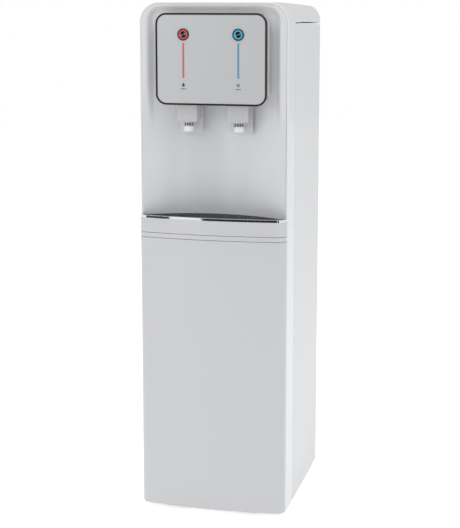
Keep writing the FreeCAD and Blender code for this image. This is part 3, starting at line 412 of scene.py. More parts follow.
# ---- finishes ------------------------------------------------------------------
@dataclass(frozen=True)
class Finish:
    """A surface finish that can be put on any piece.

    Attributes:
        name: The finish in plain words.
        colour: Linear red, green and blue.
        roughness: Middle of the roughness.
        edge: Radius of the edges' rounding, in metres.
        dust: How much dust lies on what faces up.
    """

    name: str
    colour: Colour
    roughness: float
    edge: float = 0.5 * MM
    dust: float = 0.0

    def material(self) -> bpy.types.Material:
        """Gives the finish's material, drawing it the first time.

        Returns:
            The material.
        """
        made = bpy.data.materials.get("finish_" + self.name)
        if made:
            return made
        made = bpy.data.materials.new("finish_" + self.name)
        made.use_nodes = True
        made.node_tree.nodes.clear()
        sheet = NodeSheet(made.node_tree)
        end = sheet.add("ShaderNodeOutputMaterial")
        shader = sheet.add("ShaderNodeBsdfPrincipled")
        sheet.feed(end.inputs["Surface"], shader.outputs[0])
        shader.inputs["Roughness"].default_value = self.roughness
        self.draw(sheet, shader)
        return made

    def draw(self, sheet: NodeSheet, shader: bpy.types.Node) -> None:
        """Draws the finish's nodes in front of its shader.

        Args:
            sheet: The material's sheet.
            shader: Its Principled shader.
        """
        raise NotImplementedError

    def place(self, sheet: NodeSheet) -> bpy.types.NodeSocket:
        """The object's own coordinates."""
        return sheet.add("ShaderNodeTexCoord").outputs["Object"]

    def effect(self, sheet: NodeSheet, effect: Effect, **values: object) -> bpy.types.Node:
        """Puts a shared effect on the sheet.

        Args:
            sheet: The material's sheet.
            effect: Which effect.
            **values: Its inputs by name.

        Returns:
            The group node.
        """
        node = sheet.add("ShaderNodeGroup", node_tree=EFFECTS.get(effect))
        for name, value in values.items():
            sheet.feed(node.inputs[name], value)
        return node

    def relief(self, sheet: NodeSheet, shader: bpy.types.Node, height: bpy.types.NodeSocket,
               depth: float) -> bpy.types.NodeSocket:
        """Joins a relief over rounded edges to the shader's normal.

        Args:
            sheet: The material's sheet.
            shader: Its Principled shader.
            height: Height pattern.
            depth: Height of the relief in metres.

        Returns:
            Mask of the edges, used for a painted highlight.
        """
        edges = self.effect(sheet, Effect.SOFT_EDGES, Radius=self.edge)
        bump = sheet.add("ShaderNodeBump")
        bump.inputs["Strength"].default_value = 1.0
        bump.inputs["Distance"].default_value = depth
        sheet.feed(bump.inputs["Height"], height)
        sheet.feed(bump.inputs["Normal"], edges.outputs["Normal"])
        sheet.feed(shader.inputs["Normal"], bump.outputs[0])
        return edges.outputs["Edge"]

    def dusted(self, sheet: NodeSheet, shader: bpy.types.Node, place: bpy.types.NodeSocket,
               colour: object, roughness: object) -> None:
        """Lays dust over a colour and a roughness, and joins both to the shader.

        Args:
            sheet: The material's sheet.
            shader: Its Principled shader.
            place: Where patterns are read.
            colour: Colour without dust.
            roughness: Roughness without dust.
        """
        if self.dust:
            film = self.effect(sheet, Effect.DUST, Vector=place, Amount=self.dust).outputs[0]
            colour = sheet.blend(film, colour, (0.42, 0.40, 0.37, 1.0))
            roughness = sheet.spread(film, 0.0, 1.0, roughness, 0.85)
        sheet.feed(shader.inputs["Base Color"], colour)
        sheet.feed(shader.inputs["Roughness"], roughness)


@dataclass(frozen=True)
class MouldedPlastic(Finish):
    """Injection-moulded plastic, polished or textured by its mould.

    Attributes:
        grain: Size of the texture's grain, in metres.
        depth: Depth of the texture, in metres.
        coat: How glossy the skin is over the body.
        tone: Share by which the colour drifts over the piece.
        clear: How much light passes through.
    """

    grain: float = 0.6 * MM
    depth: float = 0.006 * MM
    coat: float = 0.0
    tone: float = 0.03
    clear: float = 0.0

    def draw(self, sheet: NodeSheet, shader: bpy.types.Node) -> None:
        """Draws the grain of the mould, flow marks, clear skin and a painted highlight along
        the edges.

        Args:
            sheet: The material's sheet.
            shader: Its Principled shader.
        """
        place = self.place(sheet)
        skin = self.effect(sheet, Effect.MOULD_GRAIN, Vector=place, Scale=1.0 / self.grain)
        edge = self.relief(sheet, shader, skin.outputs["Height"], self.depth)
        drift = sheet.blend(skin.outputs["Height"], shade(self.colour, 1 - self.tone),
                            shade(self.colour, 1 + self.tone))
        # painted highlight: the colour is lightened along the edges, where rounded edges would
        # catch the light
        painted_edge_highlight = sheet.blend(sheet.math("MULTIPLY", edge, 0.25), drift, shade(self.colour, 1.12))
        rough = sheet.spread(skin.outputs["Tone"], 0.0, 1.0, self.roughness * 0.9,
                             self.roughness * 1.1)
        self.dusted(sheet, shader, place, painted_edge_highlight, rough)
        shader.inputs["IOR"].default_value = 1.5
        shader.inputs["Coat Weight"].default_value = self.coat
        shader.inputs["Coat Roughness"].default_value = 0.08
        shader.inputs["Transmission Weight"].default_value = self.clear


@dataclass(frozen=True)
class SprayedSteel(Finish):
    """Sheet steel under baked paint or enamel.

    Attributes:
        ripple: Waves to the metre of the paint's ripple.
        depth: Depth of the ripple, in metres.
        coat: Weight of the clear gloss.
        metallic: How much the paint shines like metal.
    """

    ripple: float = 300.0
    depth: float = 0.01 * MM
    coat: float = 0.3
    metallic: float = 0.0

    def draw(self, sheet: NodeSheet, shader: bpy.types.Node) -> None:
        """Draws the ripple of the paint and a painted highlight along the edges.

        Args:
            sheet: The material's sheet.
            shader: Its Principled shader.
        """
        place = self.place(sheet)
        peel = self.effect(sheet, Effect.ORANGE_PEEL, Vector=place, Scale=self.ripple)
        edge = self.relief(sheet, shader, peel.outputs["Height"], self.depth)
        drift = sheet.blend(peel.outputs["Height"], shade(self.colour, 0.98),
                            shade(self.colour, 1.02))
        # painted highlight: the paint's colour is lightened along the edges
        painted_edge_light = sheet.blend(sheet.math("MULTIPLY", edge, 0.3), drift, shade(self.colour, 1.08))
        rough = sheet.spread(peel.outputs["Tone"], 0.3, 0.7, self.roughness * 0.9,
                             self.roughness * 1.1)
        self.dusted(sheet, shader, place, painted_edge_light, rough)
        shader.inputs["Metallic"].default_value = self.metallic
        shader.inputs["Coat Weight"].default_value = self.coat
        shader.inputs["Coat Roughness"].default_value = 0.12


@dataclass(frozen=True)
class BareMetal(Finish):
    """Bare, plated or drawn metal.

    Attributes:
        lines: Line density along X, Y and Z, per metre.
        depth: Depth of the lines, in metres.
        stain: Colour that the metal dulls to.
        stained: How much of it is dull.
    """

    lines: Point = (12.0, 12.0, 900.0)
    depth: float = 0.004 * MM
    stain: Colour = (0.35, 0.34, 0.33)
    stained: float = 0.15

    def draw(self, sheet: NodeSheet, shader: bpy.types.Node) -> None:
        """Draws the lines and stains of the metal, and a painted highlight along the edges.

        Args:
            sheet: The material's sheet.
            shader: Its Principled shader.
        """
        place = self.place(sheet)
        grain = self.effect(sheet, Effect.BRUSHED, Vector=place, Lines=self.lines)
        edge = self.relief(sheet, shader, grain.outputs["Height"], self.depth)
        dull = sheet.math("MULTIPLY", grain.outputs["Tone"], self.stained)
        body = sheet.blend(dull, shade(self.colour, 1.0), shade(self.stain, 1.0))
        # painted highlight: the metal's colour is lightened along the edges
        painted_highlight = sheet.blend(sheet.math("MULTIPLY", edge, 0.4), body, shade(self.colour, 1.15))
        rough = sheet.spread(grain.outputs["Tone"], 0.25, 0.75, self.roughness * 0.8,
                             self.roughness * 1.25)
        self.dusted(sheet, shader, place, painted_highlight, rough)
        shader.inputs["Metallic"].default_value = 1.0


@dataclass(frozen=True)
class Galvanised(Finish):
    """Sheet steel with the spangle of its zinc."""

    def draw(self, sheet: NodeSheet, shader: bpy.types.Node) -> None:
        """Draws the spangles of the zinc and a painted highlight along the edges.

        Args:
            sheet: The material's sheet.
            shader: Its Principled shader.
        """
        place = self.place(sheet)
        zinc = self.effect(sheet, Effect.SPANGLE, Vector=place)
        edge = self.relief(sheet, shader, zinc.outputs["Tone"], 0.01 * MM)
        flower = sheet.blend(zinc.outputs["Tone"], shade(self.colour, 0.82),
                             shade(self.colour, 1.12))
        # painted highlight: the spangled colour is lightened along the edges
        cut = sheet.blend(sheet.math("MULTIPLY", edge, 0.5), flower, shade(self.colour, 1.25))
        rough = sheet.spread(zinc.outputs["Tone"], 0.0, 1.0, self.roughness * 0.8,
                             self.roughness * 1.3)
        self.dusted(sheet, shader, place, cut, rough)
        shader.inputs["Metallic"].default_value = 1.0


@dataclass(frozen=True)
class TurnedMetal(Finish):
    """Dark metal disc with circular turning marks and painted fans of reflection.

    Attributes:
        centre: Middle of the disc.
        painted_highlight: Colour of the fans of light that turning leaves, painted into the
            base colour.
    """

    centre: Point = (0.0, 0.0, 0.0)
    painted_highlight: Colour = (0.3, 0.32, 0.34)

    def draw(self, sheet: NodeSheet, shader: bpy.types.Node) -> None:
        """Draws the turning marks and the painted fans of reflection.

        Args:
            sheet: The material's sheet.
            shader: Its Principled shader.
        """
        shift = sheet.add("ShaderNodeMapping")
        sheet.feed(shift.inputs["Vector"], self.place(sheet))
        shift.inputs["Location"].default_value = tuple(-part for part in self.centre)
        turned = self.effect(sheet, Effect.TURNED, Vector=shift.outputs[0])
        self.relief(sheet, shader, turned.outputs["Height"], 0.01 * MM)
        # painted reflection: the base colour is lightened in fan-shaped sectors by angle
        fans = sheet.blend(turned.outputs["PaintedFans"], shade(self.colour, 1.0),
                           shade(self.painted_highlight, 1.0))
        sheet.feed(shader.inputs["Base Color"], fans)
        rough = sheet.spread(turned.outputs["Height"], -1.0, 1.0, self.roughness * 0.7,
                             self.roughness * 1.3)
        sheet.feed(shader.inputs["Roughness"], rough)
        shader.inputs["Metallic"].default_value = 0.9


@dataclass(frozen=True)
class PlatedPlastic(Finish):
    """Smoked metallic plating over plastic.

    Attributes:
        rim: Colour painted along its edges as a painted highlight, also the tint of its
            reflections.
    """

    rim: Colour = (0.30, 0.31, 0.33)

    def draw(self, sheet: NodeSheet, shader: bpy.types.Node) -> None:
        """Draws the plated skin and a painted highlight along the edges.

        Args:
            sheet: The material's sheet.
            shader: Its Principled shader.
        """
        place = self.place(sheet)
        skin = self.effect(sheet, Effect.ORANGE_PEEL, Vector=place, Scale=420.0)
        edge = self.relief(sheet, shader, skin.outputs["Height"], 0.006 * MM)
        drift = sheet.blend(skin.outputs["Tone"], shade(self.colour, 0.9),
                            shade(self.colour, 1.1))
        # painted highlight: the colour turns to rim along the edges
        painted_highlight = sheet.blend(sheet.math("MULTIPLY", edge, 0.35), drift, shade(self.rim, 1.0))
        rough = sheet.spread(skin.outputs["Tone"], 0.3, 0.7, self.roughness * 0.8,
                             self.roughness * 1.2)
        self.dusted(sheet, shader, place, painted_highlight, rough)
        shader.inputs["Metallic"].default_value = 0.85
        shader.inputs["Specular Tint"].default_value = shade(self.rim, 1.0)


@dataclass(frozen=True)
class LitPlastic(Finish):
    """Coloured light guide with a lamp behind it.

    Attributes:
        glow: Strength of the light that it gives off.
    """

    glow: float = 1.0

    def draw(self, sheet: NodeSheet, shader: bpy.types.Node) -> None:
        """Draws the glowing plastic.

        Args:
            sheet: The material's sheet.
            shader: Its Principled shader.
        """
        place = self.place(sheet)
        skin = self.effect(sheet, Effect.MOULD_GRAIN, Vector=place, Scale=2500.0)
        self.relief(sheet, shader, skin.outputs["Height"], 0.004 * MM)
        cloud = sheet.noise(place, 160.0, 2.0)
        light = sheet.blend(cloud, shade(self.colour, 0.86), shade(self.colour, 1.08))
        sheet.feed(shader.inputs["Base Color"], light)
        sheet.feed(shader.inputs["Emission Color"], light)
        shader.inputs["Emission Strength"].default_value = self.glow
        shader.inputs["Coat Weight"].default_value = 0.5


@dataclass(frozen=True)
class Foam(Finish):
    """Moulded foam of closed bubbles."""

    def draw(self, sheet: NodeSheet, shader: bpy.types.Node) -> None:
        """Draws the cells of the foam.

        Args:
            sheet: The material's sheet.
            shader: Its Principled shader.
        """
        place = self.place(sheet)
        cells = self.effect(sheet, Effect.CELLS, Vector=place)
        self.relief(sheet, shader, cells.outputs["Height"], 0.35 * MM)
        tone = sheet.blend(cells.outputs["Tone"], shade(self.colour, 0.9),
                           shade(self.colour, 1.03))
        self.dusted(sheet, shader, place, tone, self.roughness)
        shader.inputs["Subsurface Weight"].default_value = 0.1
        shader.inputs["Subsurface Scale"].default_value = 2 * MM


@dataclass(frozen=True)
class Rubber(Finish):
    """Moulded rubber, greyed where it faces up and in random patches of bloom, with a painted
    highlight along its edges.
    """

    def draw(self, sheet: NodeSheet, shader: bpy.types.Node) -> None:
        """Draws the dull skin of the rubber, its bloom and a painted highlight along the edges.

        Args:
            sheet: The material's sheet.
            shader: Its Principled shader.
        """
        place = self.place(sheet)
        skin = self.effect(sheet, Effect.MOULD_GRAIN, Vector=place, Scale=900.0)
        edge = self.relief(sheet, shader, skin.outputs["Height"], 0.06 * MM)
        # greyed in random patches of bloom, and along the edges as a painted highlight
        bloom_and_edge_highlight = sheet.math("MULTIPLY_ADD", edge, 0.3,
                           sheet.math("MULTIPLY", skin.outputs["Tone"], 0.25))
        tone = sheet.blend(bloom_and_edge_highlight, shade(self.colour, 1.0), (0.12, 0.12, 0.115, 1.0))
        self.dusted(sheet, shader, place, tone, self.roughness)


@dataclass(frozen=True)
class CircuitLacquer(Finish):
    """Green lacquer over copper tracks."""

    def draw(self, sheet: NodeSheet, shader: bpy.types.Node) -> None:
        """Draws the lacquer of the board.

        Args:
            sheet: The material's sheet.
            shader: Its Principled shader.
        """
        place = self.place(sheet)
        tracks = sheet.add("ShaderNodeTexBrick")
        sheet.feed(tracks.inputs["Vector"], place)
        tracks.inputs["Scale"].default_value = 160.0
        tracks.inputs["Mortar Size"].default_value = 0.12
        tracks.inputs["Color1"].default_value = shade(self.colour, 0.8)
        tracks.inputs["Color2"].default_value = shade(self.colour, 1.0)
        tracks.inputs["Mortar"].default_value = shade(self.colour, 1.8)
        self.relief(sheet, shader, tracks.outputs["Fac"], 0.03 * MM)
        self.dusted(sheet, shader, place, tracks.outputs["Color"], self.roughness)


class Finishes:
    """Every finish of the dispenser."""

    WHITE_SHELL = MouldedPlastic("white_shell", (0.59, 0.59, 0.595), 0.31, 1.0 * MM, 0.02,
                                 grain=1.4 * MM, depth=0.004 * MM, coat=0.35, tone=0.012)
    # painted light: a lighter copy of the white shell plastic, for the light on the top cover
    # and front frame
    FRAME_WHITE = MouldedPlastic("frame_white", (0.76, 0.76, 0.765), 0.31, 1.0 * MM, 0.02,
                                 grain=1.4 * MM, depth=0.004 * MM, coat=0.35, tone=0.012)
    # painted light: white plastic made lighter to offset the shade of the deep recess round the
    # head
    NICHE_SHELL = MouldedPlastic("niche_shell", (0.70, 0.70, 0.705), 0.24, 1.2 * MM, 0.02,
                                 grain=1.2 * MM, depth=0.004 * MM, coat=0.3, tone=0.012)
    SIDE_STEEL = SprayedSteel("side_steel", (0.72, 0.72, 0.725), 0.42, 0.8 * MM, 0.0,
                              ripple=220.0, depth=0.012 * MM, coat=0.15)
    PANEL_FACE = SprayedSteel("panel_face", (0.52, 0.522, 0.525), 0.36, 0.4 * MM, 0.0,
                              ripple=700.0, depth=0.004 * MM, coat=0.1, metallic=0.15)
    PANEL_RIM = MouldedPlastic("panel_rim", (0.004, 0.004, 0.0045), 0.14, 0.4 * MM, 0.0,
                               grain=2.0 * MM, depth=0.001 * MM, coat=0.15)
    BEZEL = MouldedPlastic("bezel_black", (0.014, 0.015, 0.018), 0.10, 0.5 * MM, 0.0,
                           grain=2.0 * MM, depth=0.001 * MM, coat=1.0)
    RED_LIGHT = LitPlastic("red_light", (0.80, 0.032, 0.028), 0.25, glow=0.6)
    BLUE_LIGHT = LitPlastic("blue_light", (0.0, 0.47, 0.80), 0.25, glow=0.6)
    RED_STRIP = LitPlastic("red_strip", (0.46, 0.115, 0.145), 0.30, glow=0.12)
    BLUE_STRIP = LitPlastic("blue_strip", (0.075, 0.27, 0.39), 0.30, glow=0.12)
    MARK_INK = MouldedPlastic("mark_ink", (0.025, 0.025, 0.027), 0.55, 0.05 * MM, 0.0,
                              grain=0.3 * MM, depth=0.002 * MM, tone=0.1)
    MARK_GREY = MouldedPlastic("mark_grey", (0.20, 0.20, 0.21), 0.55, 0.05 * MM, 0.0,
                               grain=0.3 * MM, depth=0.002 * MM, tone=0.1)
    TAP_WHITE = MouldedPlastic("tap_white", (0.54, 0.54, 0.545), 0.16, 0.9 * MM, 0.0,
                               grain=1.6 * MM, depth=0.002 * MM, coat=0.8, tone=0.01)
    NOZZLE_WHITE = MouldedPlastic("nozzle_white", (0.80, 0.80, 0.80), 0.16, 0.9 * MM, 0.0,
                                  grain=1.6 * MM, depth=0.002 * MM, coat=0.6, tone=0.01)
    LEVER_WHITE = MouldedPlastic("lever_white", (0.68, 0.68, 0.685), 0.18, 0.9 * MM, 0.0,
                                 grain=1.6 * MM, depth=0.002 * MM, coat=0.8, tone=0.01)
    CHROME = BareMetal("chrome", (0.86, 0.87, 0.89), 0.06, 0.5 * MM, 0.0,
                       lines=(40.0, 40.0, 700.0), depth=0.0006 * MM, stained=0.04)
    GRILLE = PlatedPlastic("grille_grey", (0.075, 0.082, 0.092), 0.16, 0.4 * MM, 0.0)
    GALVANISED = Galvanised("galvanised", (0.56, 0.57, 0.58), 0.38, 0.4 * MM, 0.1)
    STAINLESS = BareMetal("stainless", (0.62, 0.61, 0.60), 0.24, 0.4 * MM, 0.05,
                          lines=(700.0, 700.0, 14.0), depth=0.003 * MM)
    ENAMEL = SprayedSteel("black_enamel", (0.012, 0.012, 0.013), 0.33, 0.4 * MM, 0.12,
                          ripple=500.0, depth=0.02 * MM, coat=0.4)
    COPPER = BareMetal("copper", (0.78, 0.36, 0.21), 0.28, 0.3 * MM, 0.05,
                       lines=(60.0, 60.0, 300.0), stain=(0.20, 0.10, 0.06), stained=0.45)
    RUBBER = Rubber("rubber", (0.018, 0.018, 0.018), 0.75, 0.8 * MM, 0.1)
    FOAM = Foam("foam", (0.74, 0.72, 0.64), 0.85, 1.5 * MM, 0.05)
    NYLON = MouldedPlastic("nylon", (0.70, 0.69, 0.65), 0.42, 0.4 * MM, 0.05,
                           grain=0.5 * MM, depth=0.01 * MM, tone=0.04)
    FILTER_SHELL = MouldedPlastic("filter_shell", (0.76, 0.77, 0.79), 0.22, 1.0 * MM, 0.05,
                                  grain=1.0 * MM, depth=0.003 * MM, coat=0.5)
    TUBE = MouldedPlastic("tube_poly", (0.70, 0.74, 0.78), 0.24, 0.2 * MM, 0.05,
                          grain=0.8 * MM, depth=0.004 * MM, clear=0.25)
    BOARD = CircuitLacquer("board_green", (0.03, 0.16, 0.07), 0.30, 0.2 * MM, 0.1)
    BLACK_PLASTIC = MouldedPlastic("black_plastic", (0.020, 0.020, 0.021), 0.45, 0.4 * MM, 0.06,
                                   grain=0.5 * MM, depth=0.012 * MM)
    SWITCH_RED = MouldedPlastic("switch_red", (0.42, 0.02, 0.015), 0.22, 0.4 * MM, 0.02,
                                grain=0.9 * MM, depth=0.003 * MM, coat=0.6)
    SWITCH_GREEN = MouldedPlastic("switch_green", (0.02, 0.24, 0.06), 0.22, 0.4 * MM, 0.02,
                                  grain=0.9 * MM, depth=0.003 * MM, coat=0.6)


# ---- meshes ---------------------------------------------------------------------
def show(name: str, mesh: bpy.types.Mesh) -> bpy.types.Object:
    """Puts a mesh in the scene, at the origin.

    Args:
        name: The piece's name.
        mesh: Its mesh, in place.

    Returns:
        The new object.
    """
    piece = bpy.data.objects.new(name, mesh)
    bpy.context.scene.collection.objects.link(piece)
    return piece


def ease(share: float) -> float:
    """Share held to 0..1 and smoothed at both ends."""
    held = min(max(share, 0.0), 1.0)
    return held * held * (3 - 2 * held)


def mesh_of_points(name: str, points: list[Vector]) -> bpy.types.Mesh:
    """Loose points for a Geometry Nodes tree to stand things on.

    Args:
        name: The mesh's name.
        points: Where the points are.

    Returns:
        The mesh.
    """
    mesh = bpy.data.meshes.new(name)
    mesh.from_pydata([tuple(point) for point in points], [], [])
    return mesh


def islands(node: str) -> list[tuple[Vector, Vector]]:
    """Boxes of the separate solids of a CAD node.

    Args:
        node: The node's name.

    Returns:
        Lowest and highest corner of each.
    """
    work = bmesh.new()
    work.from_mesh(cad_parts[node].data)
    bmesh.ops.remove_doubles(work, verts=work.verts, dist=1e-6)
    left, found = set(work.verts), []
    while left:
        stack, group = [left.pop()], []
        while stack:
            vert = stack.pop()
            group.append(vert.co.copy())
            for edge in vert.link_edges:
                other = edge.other_vert(vert)
                if other in left:
                    left.remove(other)
                    stack.append(other)
        low = Vector(min(point[axis] for point in group) for axis in range(3))
        high = Vector(max(point[axis] for point in group) for axis in range(3))
        found.append((low, high))
    work.free()
    return sorted(found, key=lambda pair: tuple(pair[0]))


class Recipe(NodeSheet):
    """A Geometry Nodes tree that stands something on the points it is given."""

    def __init__(self, name: str, sizes: dict[str, float], counts: dict[str, int]) -> None:
        """Opens the tree.

        Args:
            name: The tree's name.
            sizes: Default of each size, in metres, by input name.
            counts: Default of each number of copies, by input name.
        """
        super().__init__(bpy.data.node_groups.new(name, "GeometryNodeTree"))
        self.name = name
        face = self.tree.interface
        face.new_socket("Points", in_out="INPUT", socket_type="NodeSocketGeometry")
        for label, value in sizes.items():
            face.new_socket(label, in_out="INPUT",
                            socket_type="NodeSocketFloat").default_value = value
        for label, value in counts.items():
            face.new_socket(label, in_out="INPUT",
                            socket_type="NodeSocketInt").default_value = value
        face.new_socket("Mesh", in_out="OUTPUT", socket_type="NodeSocketGeometry")
        start = self.add("NodeGroupInput")
        self.given = {socket.name: socket for socket in start.outputs}
        self.end = self.add("NodeGroupOutput")

    def vector(self, across: object, deep: object, up: object) -> bpy.types.NodeSocket:
        """Joins three numbers into a vector.

        Args:
            across: X.
            deep: Y.
            up: Z.

        Returns:
            The vector's socket.
        """
        node = self.add("ShaderNodeCombineXYZ")
        for socket, value in zip(node.inputs, (across, deep, up)):
            self.feed(socket, value)
        return node.outputs[0]

    def block(self, size: bpy.types.NodeSocket) -> bpy.types.NodeSocket:
        """A box of a size, about its middle.

        Args:
            size: Its sizes along X, Y and Z.

        Returns:
            The box's geometry.
        """
        node = self.add("GeometryNodeMeshCube")
        self.feed(node.inputs["Size"], size)
        return node.outputs["Mesh"]

    def move(self, shape: bpy.types.NodeSocket, offset: object = (0, 0, 0),
             turn: Point = (0, 0, 0), scale: object = (1, 1, 1)) -> bpy.types.NodeSocket:
        """Moves, turns and scales a shape.

        Args:
            shape: The geometry.
            offset: Where it goes.
            turn: Angles about X, Y and Z.
            scale: Factors along X, Y and Z.

        Returns:
            The moved geometry.
        """
        node = self.add("GeometryNodeTransform")
        for label, value in (("Geometry", shape), ("Translation", offset),
                             ("Rotation", turn), ("Scale", scale)):
            self.feed(node.inputs[label], value)
        return node.outputs[0]

    def join(self, *shapes: bpy.types.NodeSocket) -> bpy.types.NodeSocket:
        """Puts shapes together.

        Args:
            *shapes: The geometries.

        Returns:
            The joined geometry.
        """
        node = self.add("GeometryNodeJoinGeometry")
        for shape in reversed(shapes):
            self.feed(node.inputs[0], shape)
        return node.outputs[0]

    def stand(self, points: object, shape: bpy.types.NodeSocket,
              turn: object = (0, 0, 0)) -> bpy.types.NodeSocket:
        """Stands a copy of a shape on every point.

        Args:
            points: The points' geometry.
            shape: What is copied.
            turn: Rotation of the copies.

        Returns:
            The copies.
        """
        node = self.add("GeometryNodeInstanceOnPoints")
        for label, value in (("Points", points), ("Instance", shape), ("Rotation", turn)):
            self.feed(node.inputs[label], value)
        return node.outputs[0]

    def close(self, shape: bpy.types.NodeSocket, finish: Finish, smooth: bool) -> None:
        """Ends the tree with real copies in one finish.

        Args:
            shape: The finished geometry.
            finish: Its finish.
            smooth: Whether faces are shaded smooth below 35 degrees.
        """
        real = self.add("GeometryNodeRealizeInstances")
        self.feed(real.inputs[0], shape)
        last = real.outputs[0]
        if smooth:
            angle = self.add("GeometryNodeInputMeshEdgeAngle")
            sharp = self.add("FunctionNodeCompare", data_type="FLOAT",
                             operation="LESS_THAN")
            self.feed(sharp.inputs[0], angle.outputs[0])
            self.feed(sharp.inputs[1], math.radians(35))
            faces = self.add("GeometryNodeSetShadeSmooth", domain="FACE")
            self.feed(faces.inputs["Geometry"], last)
            edges = self.add("GeometryNodeSetShadeSmooth", domain="EDGE")
            self.feed(edges.inputs["Geometry"], faces.outputs[0])
            self.feed(edges.inputs["Shade Smooth"], sharp.outputs[0])
            last = edges.outputs[0]
        coat = self.add("GeometryNodeSetMaterial")
        self.feed(coat.inputs["Geometry"], last)
        coat.inputs["Material"].default_value = finish.material()
        self.feed(self.end.inputs[0], coat.outputs[0])

    def grow(self, name: str, points: list[Vector], **values: object) -> bpy.types.Object:
        """Runs the tree on some points and keeps the result as a plain mesh.

        Args:
            name: The new piece's name.
            points: Where copies stand.
            **values: Inputs, with _ for a space in their names.

        Returns:
            The new piece.
        """
        host = show(name + "_host", mesh_of_points(name + "_points", points))
        modifier = host.modifiers.new("grow", "NODES")
        modifier.node_group = self.tree
        for item in self.tree.interface.items_tree:
            label = item.name.replace(" ", "_")
            if item.in_out == "INPUT" and label in values:
                modifier[item.identifier] = values[label]
        graph = bpy.context.evaluated_depsgraph_get()
        mesh = bpy.data.meshes.new_from_object(host.evaluated_get(graph))
        mesh.name = name
        bpy.data.objects.remove(host)
        return show(name, mesh)


# ---- sub-assemblies ----------------------------------------------------------------
@dataclass
class SubAssembly:
    """Part of the dispenser: the nodes it dresses and the pieces it adds."""

    def wear(self) -> dict[str, Finish]:
        """The finish of each of its CAD nodes, by name."""
        return {}

    def add_pieces(self) -> list[bpy.types.Object]:
        """Builds what the CAD nodes don't show.

        Returns:
            The new pieces, each riding on its body.
        """
        return []

    def build(self) -> None:
        """Dresses the nodes, adds the pieces and reports both."""
        for node, finish in self.wear().items():
            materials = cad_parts[node].data.materials
            materials.clear()
            materials.append(finish.material())
            log.info("%s dressed in %s", node, finish.name)
        for piece in self.add_pieces():
            log.info("%s built with %d faces", piece.name, len(piece.data.polygons))

    def ride(self, piece: bpy.types.Object, body: str, slot: str,
             *nodes: str) -> bpy.types.Object:
        """Fixes a new piece to its body.

        Args:
            piece: The new piece.
            body: The CAD body it moves with.
            slot: Its material slot; not used.
            *nodes: CAD nodes that it stands for.

        Returns:
            The same piece.
        """
        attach(piece, body)
        if nodes:
            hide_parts(*nodes)
        return piece


@dataclass
class Cabinet(SubAssembly):
    """Covers, panels, feet and the screws that hold them.

    Attributes:
        head_radius: Radius of a screw's domed head.
        head_height: Height of the dome.
        slot_width: Width of the cross recess.
        slot_depth: Depth of the cross recess.
    """

    head_radius: float = 3.4 * MM
    head_height: float = 2.0 * MM
    slot_width: float = 0.9 * MM
    slot_depth: float = 1.4 * MM

    def wear(self) -> dict[str, Finish]:
        """The finish of each of its CAD nodes, by name.

        Returns:
            Finishes by node name.
        """
        return {
            "top_cover": Finishes.FRAME_WHITE,
            "front_frame": Finishes.FRAME_WHITE,
            "tray_shelf": Finishes.WHITE_SHELL,
            "left_side_panel": Finishes.SIDE_STEEL,
            "right_side_panel": Finishes.SIDE_STEEL,
            "rear_panel": Finishes.GALVANISED,
            "rear_posts": Finishes.GALVANISED,
            "base_pan": Finishes.GALVANISED,
            "mid_deck": Finishes.GALVANISED,
            "tank_deck": Finishes.GALVANISED,
            "rubber_feet": Finishes.RUBBER,
            "cover_catches": Finishes.BLACK_PLASTIC,
        }

    def add_pieces(self) -> list[bpy.types.Object]:
        """Builds the cross-recessed screws of the rear panel and top cover.

        Returns:
            The new pieces.
        """
        places = [Vector(((low.x + high.x) / 2, high.y - self.head_height,
                          (low.z + high.z) / 2)) for low, high in islands("panel_screws")]
        recipe = self._screw_recipe()
        heads = recipe.grow("screw_heads", places, Head_Radius=self.head_radius,
                            Head_Height=self.head_height, Slot_Width=self.slot_width,
                            Slot_Depth=self.slot_depth)
        return [self.ride(heads, "cabinet", "stainless", "panel_screws")]

    def _screw_recipe(self) -> Recipe:
        """Draws the tree of a domed screw with a cross recess, its axis along Y.

        Returns:
            The finished recipe.
        """
        recipe = Recipe("screw", {"Head Radius": self.head_radius,
                                  "Head Height": self.head_height,
                                  "Slot Width": self.slot_width,
                                  "Slot Depth": self.slot_depth}, {"Seed": 7})
        given = recipe.given
        ball = recipe.add("GeometryNodeMeshUVSphere")
        for label, value in (("Segments", 28), ("Rings", 14), ("Radius", 1.0)):
            recipe.feed(ball.inputs[label], value)
        sizes = recipe.vector(given["Head Radius"], given["Head Radius"], given["Head Height"])
        dome = recipe.move(ball.outputs["Mesh"], scale=sizes)
        arm = recipe.math("MULTIPLY", given["Head Radius"], 1.25)
        deep = recipe.math("MULTIPLY", given["Slot Depth"], 2.0)
        first = recipe.block(recipe.vector(arm, given["Slot Width"], deep))
        second = recipe.block(recipe.vector(given["Slot Width"], arm, deep))
        cross = recipe.move(recipe.join(first, second),
                            recipe.vector(0.0, 0.0, given["Head Height"]))
        cut = recipe.add("GeometryNodeMeshBoolean", operation="DIFFERENCE")
        recipe.feed(cut.inputs["Mesh 1"], dome)
        recipe.feed(cut.inputs["Mesh 2"], cross)
        spin = recipe.add("FunctionNodeRandomValue", data_type="FLOAT")
        recipe.feed(spin.inputs[3], math.tau)
        recipe.feed(spin.inputs["Seed"], given["Seed"])
        turn = recipe.vector(-math.pi / 2, spin.outputs[1], 0.0)
        screws = recipe.stand(given["Points"], cut.outputs[0], turn)
        recipe.close(screws, Finishes.STAINLESS, smooth=True)
        return recipe


